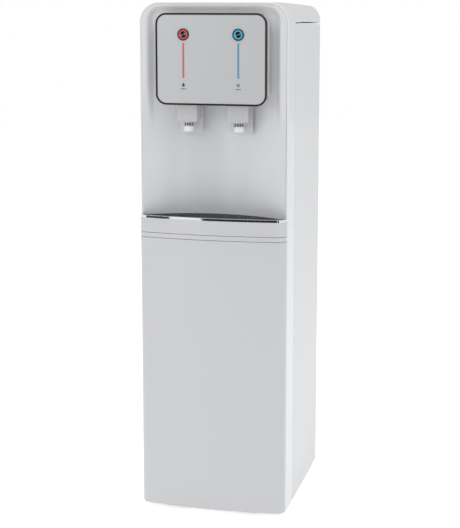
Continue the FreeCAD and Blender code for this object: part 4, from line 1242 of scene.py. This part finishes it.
@dataclass
class Niche(SubAssembly):
    """Concave wall above the drip tray, sinking softly into the recess round the head.

    Attributes:
        half_width: Middle to the wall's sides.
        side_y: Where the wall meets the frame.
        sagitta: How far its middle lies behind its sides.
        low: Lower edge of the wall.
        high: Upper edge of the wall.
        corner: Radius of its upper corners.
        wall: Its thickness.
        recess_half: Middle to the recess's ridge.
        recess_top: Height of the recess's ridge.
        recess_corner: Radius of the ridge's upper corners.
        recess_slope: Width over which the recess sinks.
        floor_y: Floor of the recess.
        crown_low: Height above which the wall comes forward over the head.
        crown_high: Height at which it is fully forward.
        fade_low: Height below the head at which the recess has faded out.
        fade_high: Height at which it is fully sunk.
        window_half: Half width of the hidden window behind the head.
        window_low: Lower edge of the window.
        window_high: Upper edge of the window.
    """

    half_width: float = 152.6 * MM
    side_y: float = -157.0 * MM
    sagitta: float = 47.5 * MM
    low: float = 597.5 * MM
    high: float = 1066.6 * MM
    corner: float = 36.6 * MM
    wall: float = 3.0 * MM
    recess_half: float = 141.0 * MM
    recess_top: float = 1063.5 * MM
    recess_corner: float = 30.0 * MM
    recess_slope: float = 11.0 * MM
    floor_y: float = -146.0 * MM
    crown_low: float = 1000.0 * MM
    crown_high: float = 1040.0 * MM
    fade_low: float = 800.0 * MM
    fade_high: float = 905.0 * MM
    window_half: float = 84.0 * MM
    window_low: float = 904.5 * MM
    window_high: float = 1027.0 * MM

    def add_pieces(self) -> list[bpy.types.Object]:
        """Builds the wall as one smooth closed shell with its hidden window.

        Returns:
            The new pieces.
        """
        columns = self._steps((-1.0, 1.0), 128)
        rows = (self._steps((self.low, self.fade_low), 14)[:-1]
                + self._steps((self.fade_low, self.window_low), 34)[:-1]
                + self._steps((self.window_low, self.window_high), 40)[:-1]
                + self._steps((self.window_high, self.high), 34))
        work = bmesh.new()
        sheets = [[[work.verts.new(self._point(share, up, back)) for share in columns]
                   for up in rows] for back in (0.0, self.wall)]
        for up in range(len(rows) - 1):
            for across in range(len(columns) - 1):
                if not self._in_window(columns, rows, across, up):
                    self._tile(work, sheets, across, up)
        self._rims(work)
        for face in work.faces:
            face.smooth = True
        bmesh.ops.recalc_face_normals(work, faces=work.faces)
        wall = join_meshes("niche_wall", [work], Finishes.NICHE_SHELL)
        return [self.ride(wall, "cabinet", "niche_shell", "niche_panel")]

    def _steps(self, span: tuple[float, float], count: int) -> list[float]:
        """Even steps over a span, ends included."""
        start, end = span
        return [start + (end - start) * step / count for step in range(count + 1)]

    def _in_window(self, columns: list[float], rows: list[float], across: int, up: int) -> bool:
        """Whether a grid cell lies in the hidden window.

        Args:
            columns: Places of the grid's columns, -1 to 1.
            rows: Heights of its rows.
            across: Column of the cell.
            up: Row of the cell.

        Returns:
            True if it does.
        """
        middle = (columns[across] + columns[across + 1]) / 2 * self.half_width
        height = (rows[up] + rows[up + 1]) / 2
        return abs(middle) < self.window_half and self.window_low < height < self.window_high

    def _tile(self, work: bmesh.types.BMesh, sheets: list, across: int, up: int) -> None:
        """Adds the front and the back face of one grid cell.

        Args:
            work: The wall's mesh.
            sheets: Front and back grid of vertices.
            across: Column of the cell.
            up: Row of the cell.
        """
        for sheet in sheets:
            corners = [sheet[up][across], sheet[up][across + 1],
                       sheet[up + 1][across + 1], sheet[up + 1][across]]
            work.faces.new(corners)

    def _rims(self, work: bmesh.types.BMesh) -> None:
        """Closes the shell between its two sheets, round its edge and its window.

        Args:
            work: The wall's mesh.
        """
        open_edges = [edge for edge in work.edges if len(edge.link_faces) == 1]
        bmesh.ops.bridge_loops(work, edges=self._outer(open_edges))
        open_edges = [edge for edge in work.edges if len(edge.link_faces) == 1]
        bmesh.ops.bridge_loops(work, edges=open_edges)
        loose = [vert for vert in work.verts if not vert.link_faces]
        bmesh.ops.delete(work, geom=loose, context="VERTS")

    def _outer(self, edges: list[bmesh.types.BMEdge]) -> list[bmesh.types.BMEdge]:
        """The open edges that lie on the wall's outline rather than on its window.

        Args:
            edges: The open edges.

        Returns:
            Those edges.
        """
        reach = self.window_half + 4 * MM
        chosen = []
        for edge in edges:
            middle = (edge.verts[0].co + edge.verts[1].co) / 2
            beside = abs(middle.x) < reach
            within = self.window_low - 1 * MM < middle.z < self.window_high + 1 * MM
            if not (beside and within):
                chosen.append(edge)
        return chosen

    def _point(self, share: float, up: float, back: float) -> Point:
        """A point of the wall.

        Args:
            share: Place between the wall's sides, -1 to 1.
            up: Its height.
            back: Distance behind the front face.

        Returns:
            The point.
        """
        lift = max(up - (self.high - self.corner), 0.0)
        cut = self.corner - math.sqrt(max(self.corner ** 2 - lift ** 2, 0.0))
        across = share * (self.half_width - cut)
        return (across, self.depth(across, up) + back, up)

    def depth(self, across: float, up: float) -> float:
        """Y of the wall's front face.

        Args:
            across: X of the point.
            up: Z of the point.

        Returns:
            Its Y.
        """
        radius = (self.half_width ** 2 + self.sagitta ** 2) / (2 * self.sagitta)
        plain = self.side_y + self.sagitta - radius + math.sqrt(radius ** 2 - across ** 2)
        soft = 3 * MM
        deep = (plain + self.floor_y + math.hypot(plain - self.floor_y, soft)) / 2
        crown = ease((up - self.crown_low) / (self.crown_high - self.crown_low))
        deep += (self.floor_y - deep) * crown
        sunk = ease(self._inside(across, up) / self.recess_slope)
        upper = self.side_y + (deep - self.side_y) * sunk
        share = ease((up - self.fade_low) / (self.fade_high - self.fade_low))
        return plain + (upper - plain) * share

    def _inside(self, across: float, up: float) -> float:
        """How far a point lies inside the recess's rounded outline.

        Args:
            across: X of the point.
            up: Z of the point.

        Returns:
            The distance, negative outside.
        """
        beside = self.recess_half - self.recess_corner - abs(across)
        below = self.recess_top - self.recess_corner - up
        if beside < 0 and below < 0:
            return self.recess_corner - math.hypot(beside, below)
        return min(beside, below) + self.recess_corner


@dataclass
class Button:
    """One of the two push buttons and the light strip below it.

    Attributes:
        name: hot or cold.
        light: Finish of its ring.
        strip: Finish of its strip.
        ink: Finish of its mark.
    """

    name: str
    light: Finish
    strip: Finish
    ink: Finish

    def axis(self) -> Vector:
        """Middle of the cap."""
        low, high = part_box(self.name + "_button_cap")
        return (low + high) / 2

    def wear(self) -> dict[str, Finish]:
        """The finish of each of its CAD nodes, by name.

        Returns:
            Finishes by node name.
        """
        centre = tuple(self.axis())
        cap = TurnedMetal(self.name + "_cap", (0.012, 0.016, 0.018), 0.30, 0.3 * MM,
                          # the cap's painted reflection fans are lighter blue-grey
                          centre=centre, painted_highlight=(0.20, 0.24, 0.26))
        return {self.name + "_button_cap": cap, self.name + "_button_ring": self.light,
                self.name + "_light_strip": self.strip}


@dataclass
class Head(SubAssembly):
    """Control panel with its buttons, light strips and printed marks.

    Attributes:
        face_y: Front of the control panel.
        print_depth: How far the print stands out.
        inlay_edge: Broken edge of the inlays behind the marks.
        drop_radius: Radius of the hot mark's round end.
        drop_steps: Corners of its outline.
        drop_pull: How far its upper end is drawn out.
        drop_waist: How much that end narrows.
        star_arms: Arms of the cold mark.
        star_arm_length: Length of an arm.
        star_arm_width: Width of an arm.
        dashes: Dashes under each mark.
        dash_drop: Middle of a mark to its row of dashes.
        dash_length: Length of a dash.
        dash_height: Height of a dash.
        dash_pitch: Distance between two dashes.
        hot: The hot side's button.
        cold: The cold side's button.
    """

    face_y: float = -175.7 * MM
    print_depth: float = 0.08 * MM
    inlay_edge: float = 0.12 * MM
    drop_radius: float = 2.9 * MM
    drop_steps: int = 40
    drop_pull: float = 0.9
    drop_waist: float = 0.35
    star_arms: int = 6
    star_arm_length: float = 3.7 * MM
    star_arm_width: float = 0.9 * MM
    dashes: int = 3
    dash_drop: float = 8.5 * MM
    dash_length: float = 2.8 * MM
    dash_height: float = 1.7 * MM
    dash_pitch: float = 3.7 * MM
    hot: Button = field(default_factory=lambda: Button(
        "hot", Finishes.RED_LIGHT, Finishes.RED_STRIP, Finishes.MARK_INK))
    cold: Button = field(default_factory=lambda: Button(
        "cold", Finishes.BLUE_LIGHT, Finishes.BLUE_STRIP, Finishes.MARK_GREY))

    def wear(self) -> dict[str, Finish]:
        """The finish of each of its CAD nodes, by name.

        Returns:
            Finishes by node name.
        """
        own = {"head_housing": Finishes.NICHE_SHELL, "control_panel": Finishes.PANEL_FACE,
               "panel_rim": Finishes.PANEL_RIM, "button_bezels": Finishes.BEZEL,
               "lever_switches": Finishes.BLACK_PLASTIC}
        return own | self.hot.wear() | self.cold.wear()

    def add_pieces(self) -> list[bpy.types.Object]:
        """Builds the inlay tiles, a drop and a star, and the dashes under them.

        Returns:
            The new pieces.
        """
        tiles = [self._tile(low, high) for low, high in islands("panel_marks")]
        hot_place, cold_place = ((low + high) / 2 for low, high in islands("panel_marks"))
        for place in (hot_place, cold_place):
            place.y = self.face_y
        inlay = join_meshes("mark_inlays", tiles, Finishes.PANEL_FACE)
        flame = self._drop(hot_place)
        star = self._star_recipe().grow("cold_star", [cold_place])
        dashes = self._dash_recipe().grow(
            "mark_dashes", [hot_place - Vector((0, 0, self.dash_drop)),
                            cold_place - Vector((0, 0, self.dash_drop))])
        made = [self.ride(inlay, "cabinet", "panel_face", "panel_marks")]
        for piece in (flame, star, dashes):
            made.append(self.ride(piece, "cabinet", "mark_ink", "panel_marks"))
        return made

    def _tile(self, low: Vector, high: Vector) -> bmesh.types.BMesh:
        """Flat inlay that fills its groove in the panel.

        Args:
            low: Lowest corner of the groove's filling.
            high: Highest corner.

        Returns:
            The tile, with its front edges broken.
        """
        work = bmesh.new()
        size = high - low
        place = Matrix.Translation((low + high) / 2) @ Matrix.Diagonal((*size, 1.0))
        bmesh.ops.create_cube(work, size=1.0, matrix=place)
        front = [edge for edge in work.edges
                 if all(vert.co.y < low.y + 1e-6 for vert in edge.verts)]
        bmesh.ops.bevel(work, geom=front, offset=self.inlay_edge, segments=2, affect="EDGES")
        return work

    def _drop(self, place: Vector) -> bpy.types.Object:
        """Printed drop of the hot side.

        Args:
            place: Its middle on the panel.

        Returns:
            The drop.
        """
        work = bmesh.new()
        radius = self.drop_radius
        ring = []
        for step in range(self.drop_steps):
            angle = math.tau * step / self.drop_steps
            upper = max(math.cos(angle), 0)
            pull = 1 + self.drop_pull * upper ** 6
            ring.append(work.verts.new(place + Vector((
                radius * math.sin(angle) * (1 - self.drop_waist * upper), 0,
                radius * math.cos(angle) * pull - 0.4 * radius))))
        face = work.faces.new(ring)
        lifted = bmesh.ops.extrude_face_region(work, geom=[face])
        top = [item for item in lifted["geom"] if isinstance(item, bmesh.types.BMVert)]
        bmesh.ops.translate(work, verts=top, vec=(0, -self.print_depth, 0))
        bmesh.ops.recalc_face_normals(work, faces=work.faces)
        return join_meshes("hot_drop", [work], self.hot.ink)

    def _star_recipe(self) -> Recipe:
        """Draws the tree of a star of bars round a point.

        Returns:
            The finished recipe.
        """
        recipe = Recipe("star", {"Arm Length": self.star_arm_length,
                                 "Arm Width": self.star_arm_width,
                                 "Print Depth": self.print_depth}, {"Arms": self.star_arms})
        given = recipe.given
        size = recipe.vector(given["Arm Length"], given["Print Depth"], given["Arm Width"])
        half = recipe.math("MULTIPLY", given["Arm Length"], 0.5)
        out = recipe.math("MULTIPLY", given["Print Depth"], -0.5)
        arm = recipe.move(recipe.block(size), recipe.vector(half, out, 0.0))
        tip = recipe.vector(given["Arm Width"], given["Print Depth"],
                            recipe.math("MULTIPLY", given["Arm Width"], 2.4))
        near = recipe.math("MULTIPLY", given["Arm Length"], 0.72)
        cap = recipe.move(recipe.block(tip), recipe.vector(near, out, 0.0))
        spokes = recipe.add("GeometryNodeMeshLine", mode="OFFSET")
        recipe.feed(spokes.inputs["Count"], given["Arms"])
        recipe.feed(spokes.inputs["Offset"], (0.0, 0.0, 0.0))
        index = recipe.add("GeometryNodeInputIndex")
        step = recipe.math("DIVIDE", math.tau, given["Arms"])
        turn = recipe.vector(0.0, recipe.math("MULTIPLY", index.outputs[0], step), 0.0)
        star = recipe.stand(spokes.outputs[0], recipe.join(arm, cap), turn)
        recipe.close(recipe.stand(given["Points"], star), self.cold.ink, smooth=False)
        return recipe

    def _dash_recipe(self) -> Recipe:
        """Draws the tree of a short row of dashes.

        Returns:
            The finished recipe.
        """
        recipe = Recipe("dashes", {"Dash Length": self.dash_length,
                                   "Dash Height": self.dash_height,
                                   "Pitch": self.dash_pitch, "Print Depth": self.print_depth},
                        {"Dashes": self.dashes})
        given = recipe.given
        size = recipe.vector(given["Dash Length"], given["Print Depth"], given["Dash Height"])
        out = recipe.math("MULTIPLY", given["Print Depth"], -0.5)
        dash = recipe.move(recipe.block(size), recipe.vector(0.0, out, 0.0))
        row = recipe.add("GeometryNodeMeshLine", mode="OFFSET")
        recipe.feed(row.inputs["Count"], given["Dashes"])
        last = recipe.math("SUBTRACT", given["Dashes"], 1.0)
        start = recipe.math("MULTIPLY", recipe.math("MULTIPLY", last, given["Pitch"]), -0.5)
        recipe.feed(row.inputs["Start Location"], recipe.vector(start, 0.0, 0.0))
        recipe.feed(row.inputs["Offset"], recipe.vector(given["Pitch"], 0.0, 0.0))
        rows = recipe.stand(given["Points"], recipe.stand(row.outputs[0], dash))
        recipe.close(rows, Finishes.MARK_INK, smooth=False)
        return recipe


def join_meshes(name: str, works: list[bmesh.types.BMesh], finish: Finish) -> bpy.types.Object:
    """Makes one piece of several bmeshes, and frees them.

    Args:
        name: The piece's name.
        works: The bmeshes, in place.
        finish: Its finish.

    Returns:
        The piece.
    """
    whole = bmesh.new()
    for work in works:
        part = bpy.data.meshes.new(name + "_part")
        work.to_mesh(part)
        work.free()
        whole.from_mesh(part)
        bpy.data.meshes.remove(part)
    mesh = bpy.data.meshes.new(name)
    whole.to_mesh(mesh)
    whole.free()
    mesh.materials.append(finish.material())
    return show(name, mesh)


@dataclass
class Taps(SubAssembly):
    """Shrouds, nozzles with their ribbed rings, and cup levers.

    Attributes:
        rib_count: Ribs round a nozzle's ring.
        rib_radius: Radius of a rib.
        lip_radius: Radius of the ring's rolled lips.
        sleeve_wall: Thickness of the dark sleeve behind the ribs.
        sleeve_sides: Sides of that sleeve.
        rib_sink: Share of a rib's radius that the sleeve covers.
    """

    rib_count: int = 14
    rib_radius: float = 1.0 * MM
    lip_radius: float = 0.8 * MM
    sleeve_wall: float = 1.2 * MM
    sleeve_sides: int = 72
    rib_sink: float = 0.75

    def wear(self) -> dict[str, Finish]:
        """The finish of each of its CAD nodes, by name.

        Returns:
            Finishes by node name.
        """
        return {"tap_shrouds": Finishes.TAP_WHITE, "nozzles": Finishes.NOZZLE_WHITE,
                "hot_cup_lever": Finishes.LEVER_WHITE, "cold_cup_lever": Finishes.LEVER_WHITE,
                "lever_pins": Finishes.STAINLESS}

    def add_pieces(self) -> list[bpy.types.Object]:
        """Builds the bright ribbed rings round the nozzles.

        Returns:
            The new pieces.
        """
        boxes = islands("nozzle_rings")
        low, high = boxes[0]
        places = [(first + last) / 2 for first, last in boxes]
        recipe = self._ring_recipe()
        rings = recipe.grow("ribbed_rings", places, Outer_Radius=(high.x - low.x) / 2,
                            Height=high.z - low.z, Rib_Radius=self.rib_radius,
                            Lip_Radius=self.lip_radius, Ribs=self.rib_count)
        sleeves = join_meshes("ring_sleeves", [self._sleeve(first, last)
                                               for first, last in boxes], Finishes.BEZEL)
        return [self.ride(rings, "cabinet", "chrome_trim", "nozzle_rings"),
                self.ride(sleeves, "cabinet", "bezel_black", "nozzle_rings")]

    def _sleeve(self, low: Vector, high: Vector) -> bmesh.types.BMesh:
        """Dark sleeve behind the ribs of one ring.

        Args:
            low: Lowest corner of the ring.
            high: Highest corner.

        Returns:
            A closed tube.
        """
        work = bmesh.new()
        middle = (low + high) / 2
        outer = (high.x - low.x) / 2 - self.lip_radius - self.rib_sink * self.rib_radius
        ends = []
        for radius in (outer, outer - self.sleeve_wall):
            for up in (low.z + self.lip_radius, high.z - self.lip_radius):
                ring = []
                for step in range(self.sleeve_sides):
                    angle = math.tau * step / self.sleeve_sides
                    ring.append(work.verts.new((middle.x + radius * math.cos(angle),
                                                middle.y + radius * math.sin(angle), up)))
                ends.append(ring)
        outer_low, outer_high, inner_low, inner_high = ends
        for first, second in ((outer_low, outer_high), (outer_high, inner_high),
                              (inner_high, inner_low), (inner_low, outer_low)):
            for step in range(self.sleeve_sides):
                after = (step + 1) % self.sleeve_sides
                work.faces.new((first[step], first[after], second[after], second[step]))
        bmesh.ops.recalc_face_normals(work, faces=work.faces)
        return work

    def _ring_recipe(self) -> Recipe:
        """Draws the tree of an upright ring with rolled lips and round ribs.

        Returns:
            The finished recipe.
        """
        recipe = Recipe("ribbed_ring", {"Outer Radius": 12.4 * MM, "Height": 10.2 * MM,
                                        "Rib Radius": self.rib_radius,
                                        "Lip Radius": self.lip_radius},
                        {"Ribs": self.rib_count})
        given = recipe.given
        lips_at = recipe.math("SUBTRACT", given["Outer Radius"], given["Lip Radius"])
        top = recipe.math("SUBTRACT", recipe.math("MULTIPLY", given["Height"], 0.5),
                          given["Lip Radius"])
        lip = recipe.add("GeometryNodeCurvePrimitiveCircle")
        recipe.feed(lip.inputs["Resolution"], 64)
        recipe.feed(lip.inputs["Radius"], lips_at)
        wire = recipe.add("GeometryNodeCurvePrimitiveCircle")
        recipe.feed(wire.inputs["Resolution"], 12)
        recipe.feed(wire.inputs["Radius"], given["Lip Radius"])
        rolled = recipe.add("GeometryNodeCurveToMesh")
        recipe.feed(rolled.inputs["Curve"], lip.outputs[0])
        recipe.feed(rolled.inputs["Profile Curve"], wire.outputs[0])
        upper = recipe.move(rolled.outputs[0], recipe.vector(0.0, 0.0, top))
        lower = recipe.move(rolled.outputs[0],
                            recipe.vector(0.0, 0.0, recipe.math("MULTIPLY", top, -1.0)))
        inner = recipe.math("SUBTRACT", lips_at, given["Rib Radius"])
        rib = recipe.add("GeometryNodeMeshCylinder", fill_type="NGON")
        recipe.feed(rib.inputs["Vertices"], 10)
        recipe.feed(rib.inputs["Radius"], given["Rib Radius"])
        recipe.feed(rib.inputs["Depth"], recipe.math("MULTIPLY", top, 2.0))
        circle = recipe.add("GeometryNodeMeshCircle")
        recipe.feed(circle.inputs["Vertices"], given["Ribs"])
        recipe.feed(circle.inputs["Radius"], inner)
        ribs = recipe.stand(circle.outputs[0], rib.outputs["Mesh"])
        ring = recipe.join(upper, lower, ribs)
        recipe.close(recipe.stand(given["Points"], ring), Finishes.CHROME, smooth=True)
        return recipe


@dataclass
class DripTray(SubAssembly):
    """Drip tray with its bright trim and lift-out grille."""

    def wear(self) -> dict[str, Finish]:
        """The finish of each of its CAD nodes, by name."""
        return {"drip_tray": Finishes.WHITE_SHELL, "tray_trim": Finishes.CHROME,
                "drip_grille": Finishes.GRILLE}


@dataclass
class LowerCover(SubAssembly):
    """Tall front cover that tilts open."""

    def wear(self) -> dict[str, Finish]:
        """The finish of each of its CAD nodes, by name."""
        return {"lower_front_cover": Finishes.WHITE_SHELL}


@dataclass
class RearFittings(SubAssembly):
    """Mains inlet, switches, water inlet and drains on the rear panel."""

    def wear(self) -> dict[str, Finish]:
        """The finish of each of its CAD nodes, by name.

        Returns:
            Finishes by node name.
        """
        return {"power_inlet": Finishes.BLACK_PLASTIC, "switch_bodies": Finishes.BLACK_PLASTIC,
                "heating_switch_rocker": Finishes.SWITCH_RED,
                "cooling_switch_rocker": Finishes.SWITCH_GREEN,
                "water_inlet": Finishes.NYLON, "drain_outlets": Finishes.NYLON,
                "hot_drain_cap": Finishes.NYLON, "cold_drain_cap": Finishes.NYLON,
                "condenser": Finishes.ENAMEL}


@dataclass
class WaterWorks(SubAssembly):
    """Tanks, filters, compressor and pipes inside the cabinet."""

    def wear(self) -> dict[str, Finish]:
        """The finish of each of its CAD nodes, by name.

        Returns:
            Finishes by node name.
        """
        return {"cold_tank": Finishes.STAINLESS, "hot_tank": Finishes.STAINLESS,
                "tank_heater": Finishes.STAINLESS, "tank_foam": Finishes.FOAM,
                "hot_jacket": Finishes.FOAM, "compressor": Finishes.ENAMEL,
                "compressor_mounts": Finishes.RUBBER, "evaporator_coil": Finishes.COPPER,
                "refrigerant_lines": Finishes.COPPER, "filter_bracket": Finishes.GALVANISED,
                "filter_manifold": Finishes.NYLON, "filter_cartridges": Finishes.FILTER_SHELL,
                "solenoid_valves": Finishes.NYLON, "water_tubes": Finishes.TUBE,
                "control_board": Finishes.BOARD}


# ---- studio -----------------------------------------------------------------------
@dataclass(frozen=True)
class SoftBox:
    """One soft studio lamp.

    Attributes:
        name: The lamp's name.
        place: Where it hangs.
        aim: What it points at.
        width: Width of its face.
        height: Height of its face.
        power: Its power in watts.
    """

    name: str
    place: Point
    aim: Point
    width: float
    height: float
    power: float

    def hang(self) -> None:
        """Adds the lamp to the scene."""
        lamp = bpy.data.lights.new(self.name, "AREA")
        lamp.shape = "RECTANGLE"
        lamp.size, lamp.size_y = self.width, self.height
        lamp.energy = self.power
        item = bpy.data.objects.new(self.name, lamp)
        item.location = self.place
        look = Vector(self.aim) - Vector(self.place)
        item.rotation_euler = look.to_track_quat("-Z", "Y").to_euler()
        bpy.context.scene.collection.objects.link(item)


@dataclass(frozen=True)
class PaleFloor(Finish):
    """Pale painted floor, faintly mottled."""

    def draw(self, sheet: NodeSheet, shader: bpy.types.Node) -> None:
        """Draws the mottled paint of the floor.

        Args:
            sheet: The material's sheet.
            shader: Its Principled shader.
        """
        place = self.place(sheet)
        cloud = sheet.noise(place, 1.5, 3.0)
        tone = sheet.blend(cloud, shade(self.colour, 0.985), shade(self.colour, 1.01))
        sheet.feed(shader.inputs["Base Color"], tone)
        sheet.feed(shader.inputs["Emission Color"], tone)
        path = sheet.add("ShaderNodeLightPath")
        glow = sheet.spread(path.outputs["Is Camera Ray"], 0.0, 1.0, 0.42, 0.62)
        sheet.feed(shader.inputs["Emission Strength"], glow)
        shader.inputs["Specular IOR Level"].default_value = 0.2


@dataclass(frozen=True)
class DarkCard(Finish):
    """Dull black card."""

    def draw(self, sheet: NodeSheet, shader: bpy.types.Node) -> None:
        """Draws the weave of the card.

        Args:
            sheet: The material's sheet.
            shader: Its Principled shader.
        """
        weave = sheet.noise(self.place(sheet), 90.0, 2.0)
        tone = sheet.blend(weave, shade(self.colour, 0.8), shade(self.colour, 1.2))
        sheet.feed(shader.inputs["Base Color"], tone)
        shader.inputs["Specular IOR Level"].default_value = 0.0


@dataclass(frozen=True)
class Flag:
    """Upright black card that only bright metal and gloss reflect.

    Attributes:
        name: The card's name.
        left: X and Y of its left foot.
        right: X and Y of its right foot.
        top: Its height.
    """

    name: str
    left: tuple[float, float]
    right: tuple[float, float]
    top: float

    def stand(self) -> None:
        """Adds the card to the studio."""
        mesh = bpy.data.meshes.new(self.name)
        corners = [(*self.left, 0.01), (*self.right, 0.01), (*self.right, self.top),
                   (*self.left, self.top)]
        mesh.from_pydata(corners, [], [(0, 1, 2, 3)])
        mesh.materials.append(DarkCard("card", (0.01, 0.01, 0.01), 0.9).material())
        card = show(self.name, mesh)
        card.visible_camera = False
        card.visible_diffuse = False
        card.visible_shadow = False


@dataclass
class Studio:
    """Floor, lamps, surroundings and camera.

    Attributes:
        floor_radius: Radius of the round floor.
        surround: Brightness of the surroundings on the object.
        camera_place: Where the camera stands.
        camera_yaw: Angle from +Y towards -X that it looks in.
        camera_pitch: Angle that it looks down.
        lens: Its focal length in millimetres, on a 36 mm sensor.
        shift: Upward shift of the frame.
        boxes: The lamps.
        flags: The dark cards.
    """

    floor_radius: float = 9.0
    surround: float = 0.56
    camera_place: Point = (0.71395, -2.83886, 1.08228)
    camera_yaw: float = 0.24778
    camera_pitch: float = 0.16442
    lens: float = 92.71
    shift: float = -0.08
    boxes: tuple[SoftBox, ...] = (
        SoftBox("key_right", (2.6, -0.3, 2.1), (0.0, 0.0, 0.85), 1.3, 1.7, 14.0),
        SoftBox("fill_left", (-1.7, -2.8, 1.5), (0.0, 0.0, 0.75), 1.2, 2.2, 15.0),
        SoftBox("top", (0.1, -0.7, 2.9), (0.0, 0.0, 0.7), 2.2, 1.8, 20.0),
        SoftBox("back_left", (-2.0, 1.9, 1.6), (0.0, 0.0, 0.6), 1.2, 2.0, 18.0),
    )
    flags: tuple[Flag, ...] = (
        Flag("flag_middle", (-1.00, -3.3), (0.62, -3.3), 0.55),
        Flag("flag_left", (-2.60, -3.0), (-1.72, -3.3), 0.55),
        Flag("flag_right", (0.95, -3.3), (1.70, -3.0), 0.55),
    )

    def build(self) -> None:
        """Lays the floor, hangs the lamps and sets the camera."""
        self._floor()
        for flag in self.flags:
            flag.stand()
        self._surroundings()
        for box in self.boxes:
            box.hang()
        self._camera()
        view = bpy.context.scene.view_settings
        view.view_transform = "Standard"
        view.look = "None"

    def _floor(self) -> None:
        """Lays a round floor."""
        work = bmesh.new()
        bmesh.ops.create_circle(work, cap_ends=True, segments=96, radius=self.floor_radius)
        mesh = bpy.data.meshes.new("studio_floor")
        work.to_mesh(mesh)
        work.free()
        mesh.materials.append(PaleFloor("floor", (0.90, 0.90, 0.90), 0.6).material())
        show("studio_floor", mesh)

    def _surroundings(self) -> None:
        """Gives even light from all round, and a white backdrop."""
        world = bpy.data.worlds.new("studio")
        world.use_nodes = True
        bpy.context.scene.world = world
        sheet = NodeSheet(world.node_tree)
        world.node_tree.nodes.clear()
        light = sheet.add("ShaderNodeBackground")
        light.inputs["Color"].default_value = (0.97, 0.985, 1.0, 1.0)
        light.inputs["Strength"].default_value = self.surround
        white = sheet.add("ShaderNodeBackground")
        white.inputs["Color"].default_value = (1.0, 1.0, 1.0, 1.0)
        white.inputs["Strength"].default_value = 1.0
        path = sheet.add("ShaderNodeLightPath")
        mix = sheet.add("ShaderNodeMixShader")
        end = sheet.add("ShaderNodeOutputWorld")
        sheet.feed(mix.inputs[0], path.outputs["Is Camera Ray"])
        sheet.feed(mix.inputs[1], light.outputs[0])
        sheet.feed(mix.inputs[2], white.outputs[0])
        sheet.feed(end.inputs["Surface"], mix.outputs[0])

    def _camera(self) -> None:
        """Sets the camera a little right of the front, looking down."""
        camera = bpy.data.cameras.new("camera")
        camera.lens = self.lens
        camera.sensor_width = 36.0
        camera.shift_y = self.shift
        item = bpy.data.objects.new("camera", camera)
        level = math.cos(self.camera_pitch)
        look = Vector((-math.sin(self.camera_yaw) * level, math.cos(self.camera_yaw) * level,
                       -math.sin(self.camera_pitch)))
        item.location = self.camera_place
        item.rotation_euler = look.to_track_quat("-Z", "Y").to_euler()
        bpy.context.scene.collection.objects.link(item)
        bpy.context.scene.camera = item


def main() -> None:
    """Builds the dispenser's looks, piece by piece, and its studio."""
    logging.basicConfig(level=logging.INFO, format="%(name)s: %(message)s")
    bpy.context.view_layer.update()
    for part in (Cabinet(), Niche(), Head(), Taps(), DripTray(), LowerCover(),
                 RearFittings(), WaterWorks()):
        log.info("building %s", type(part).__name__)
        part.build()
    Studio().build()


if __name__ == "__main__":
    main()
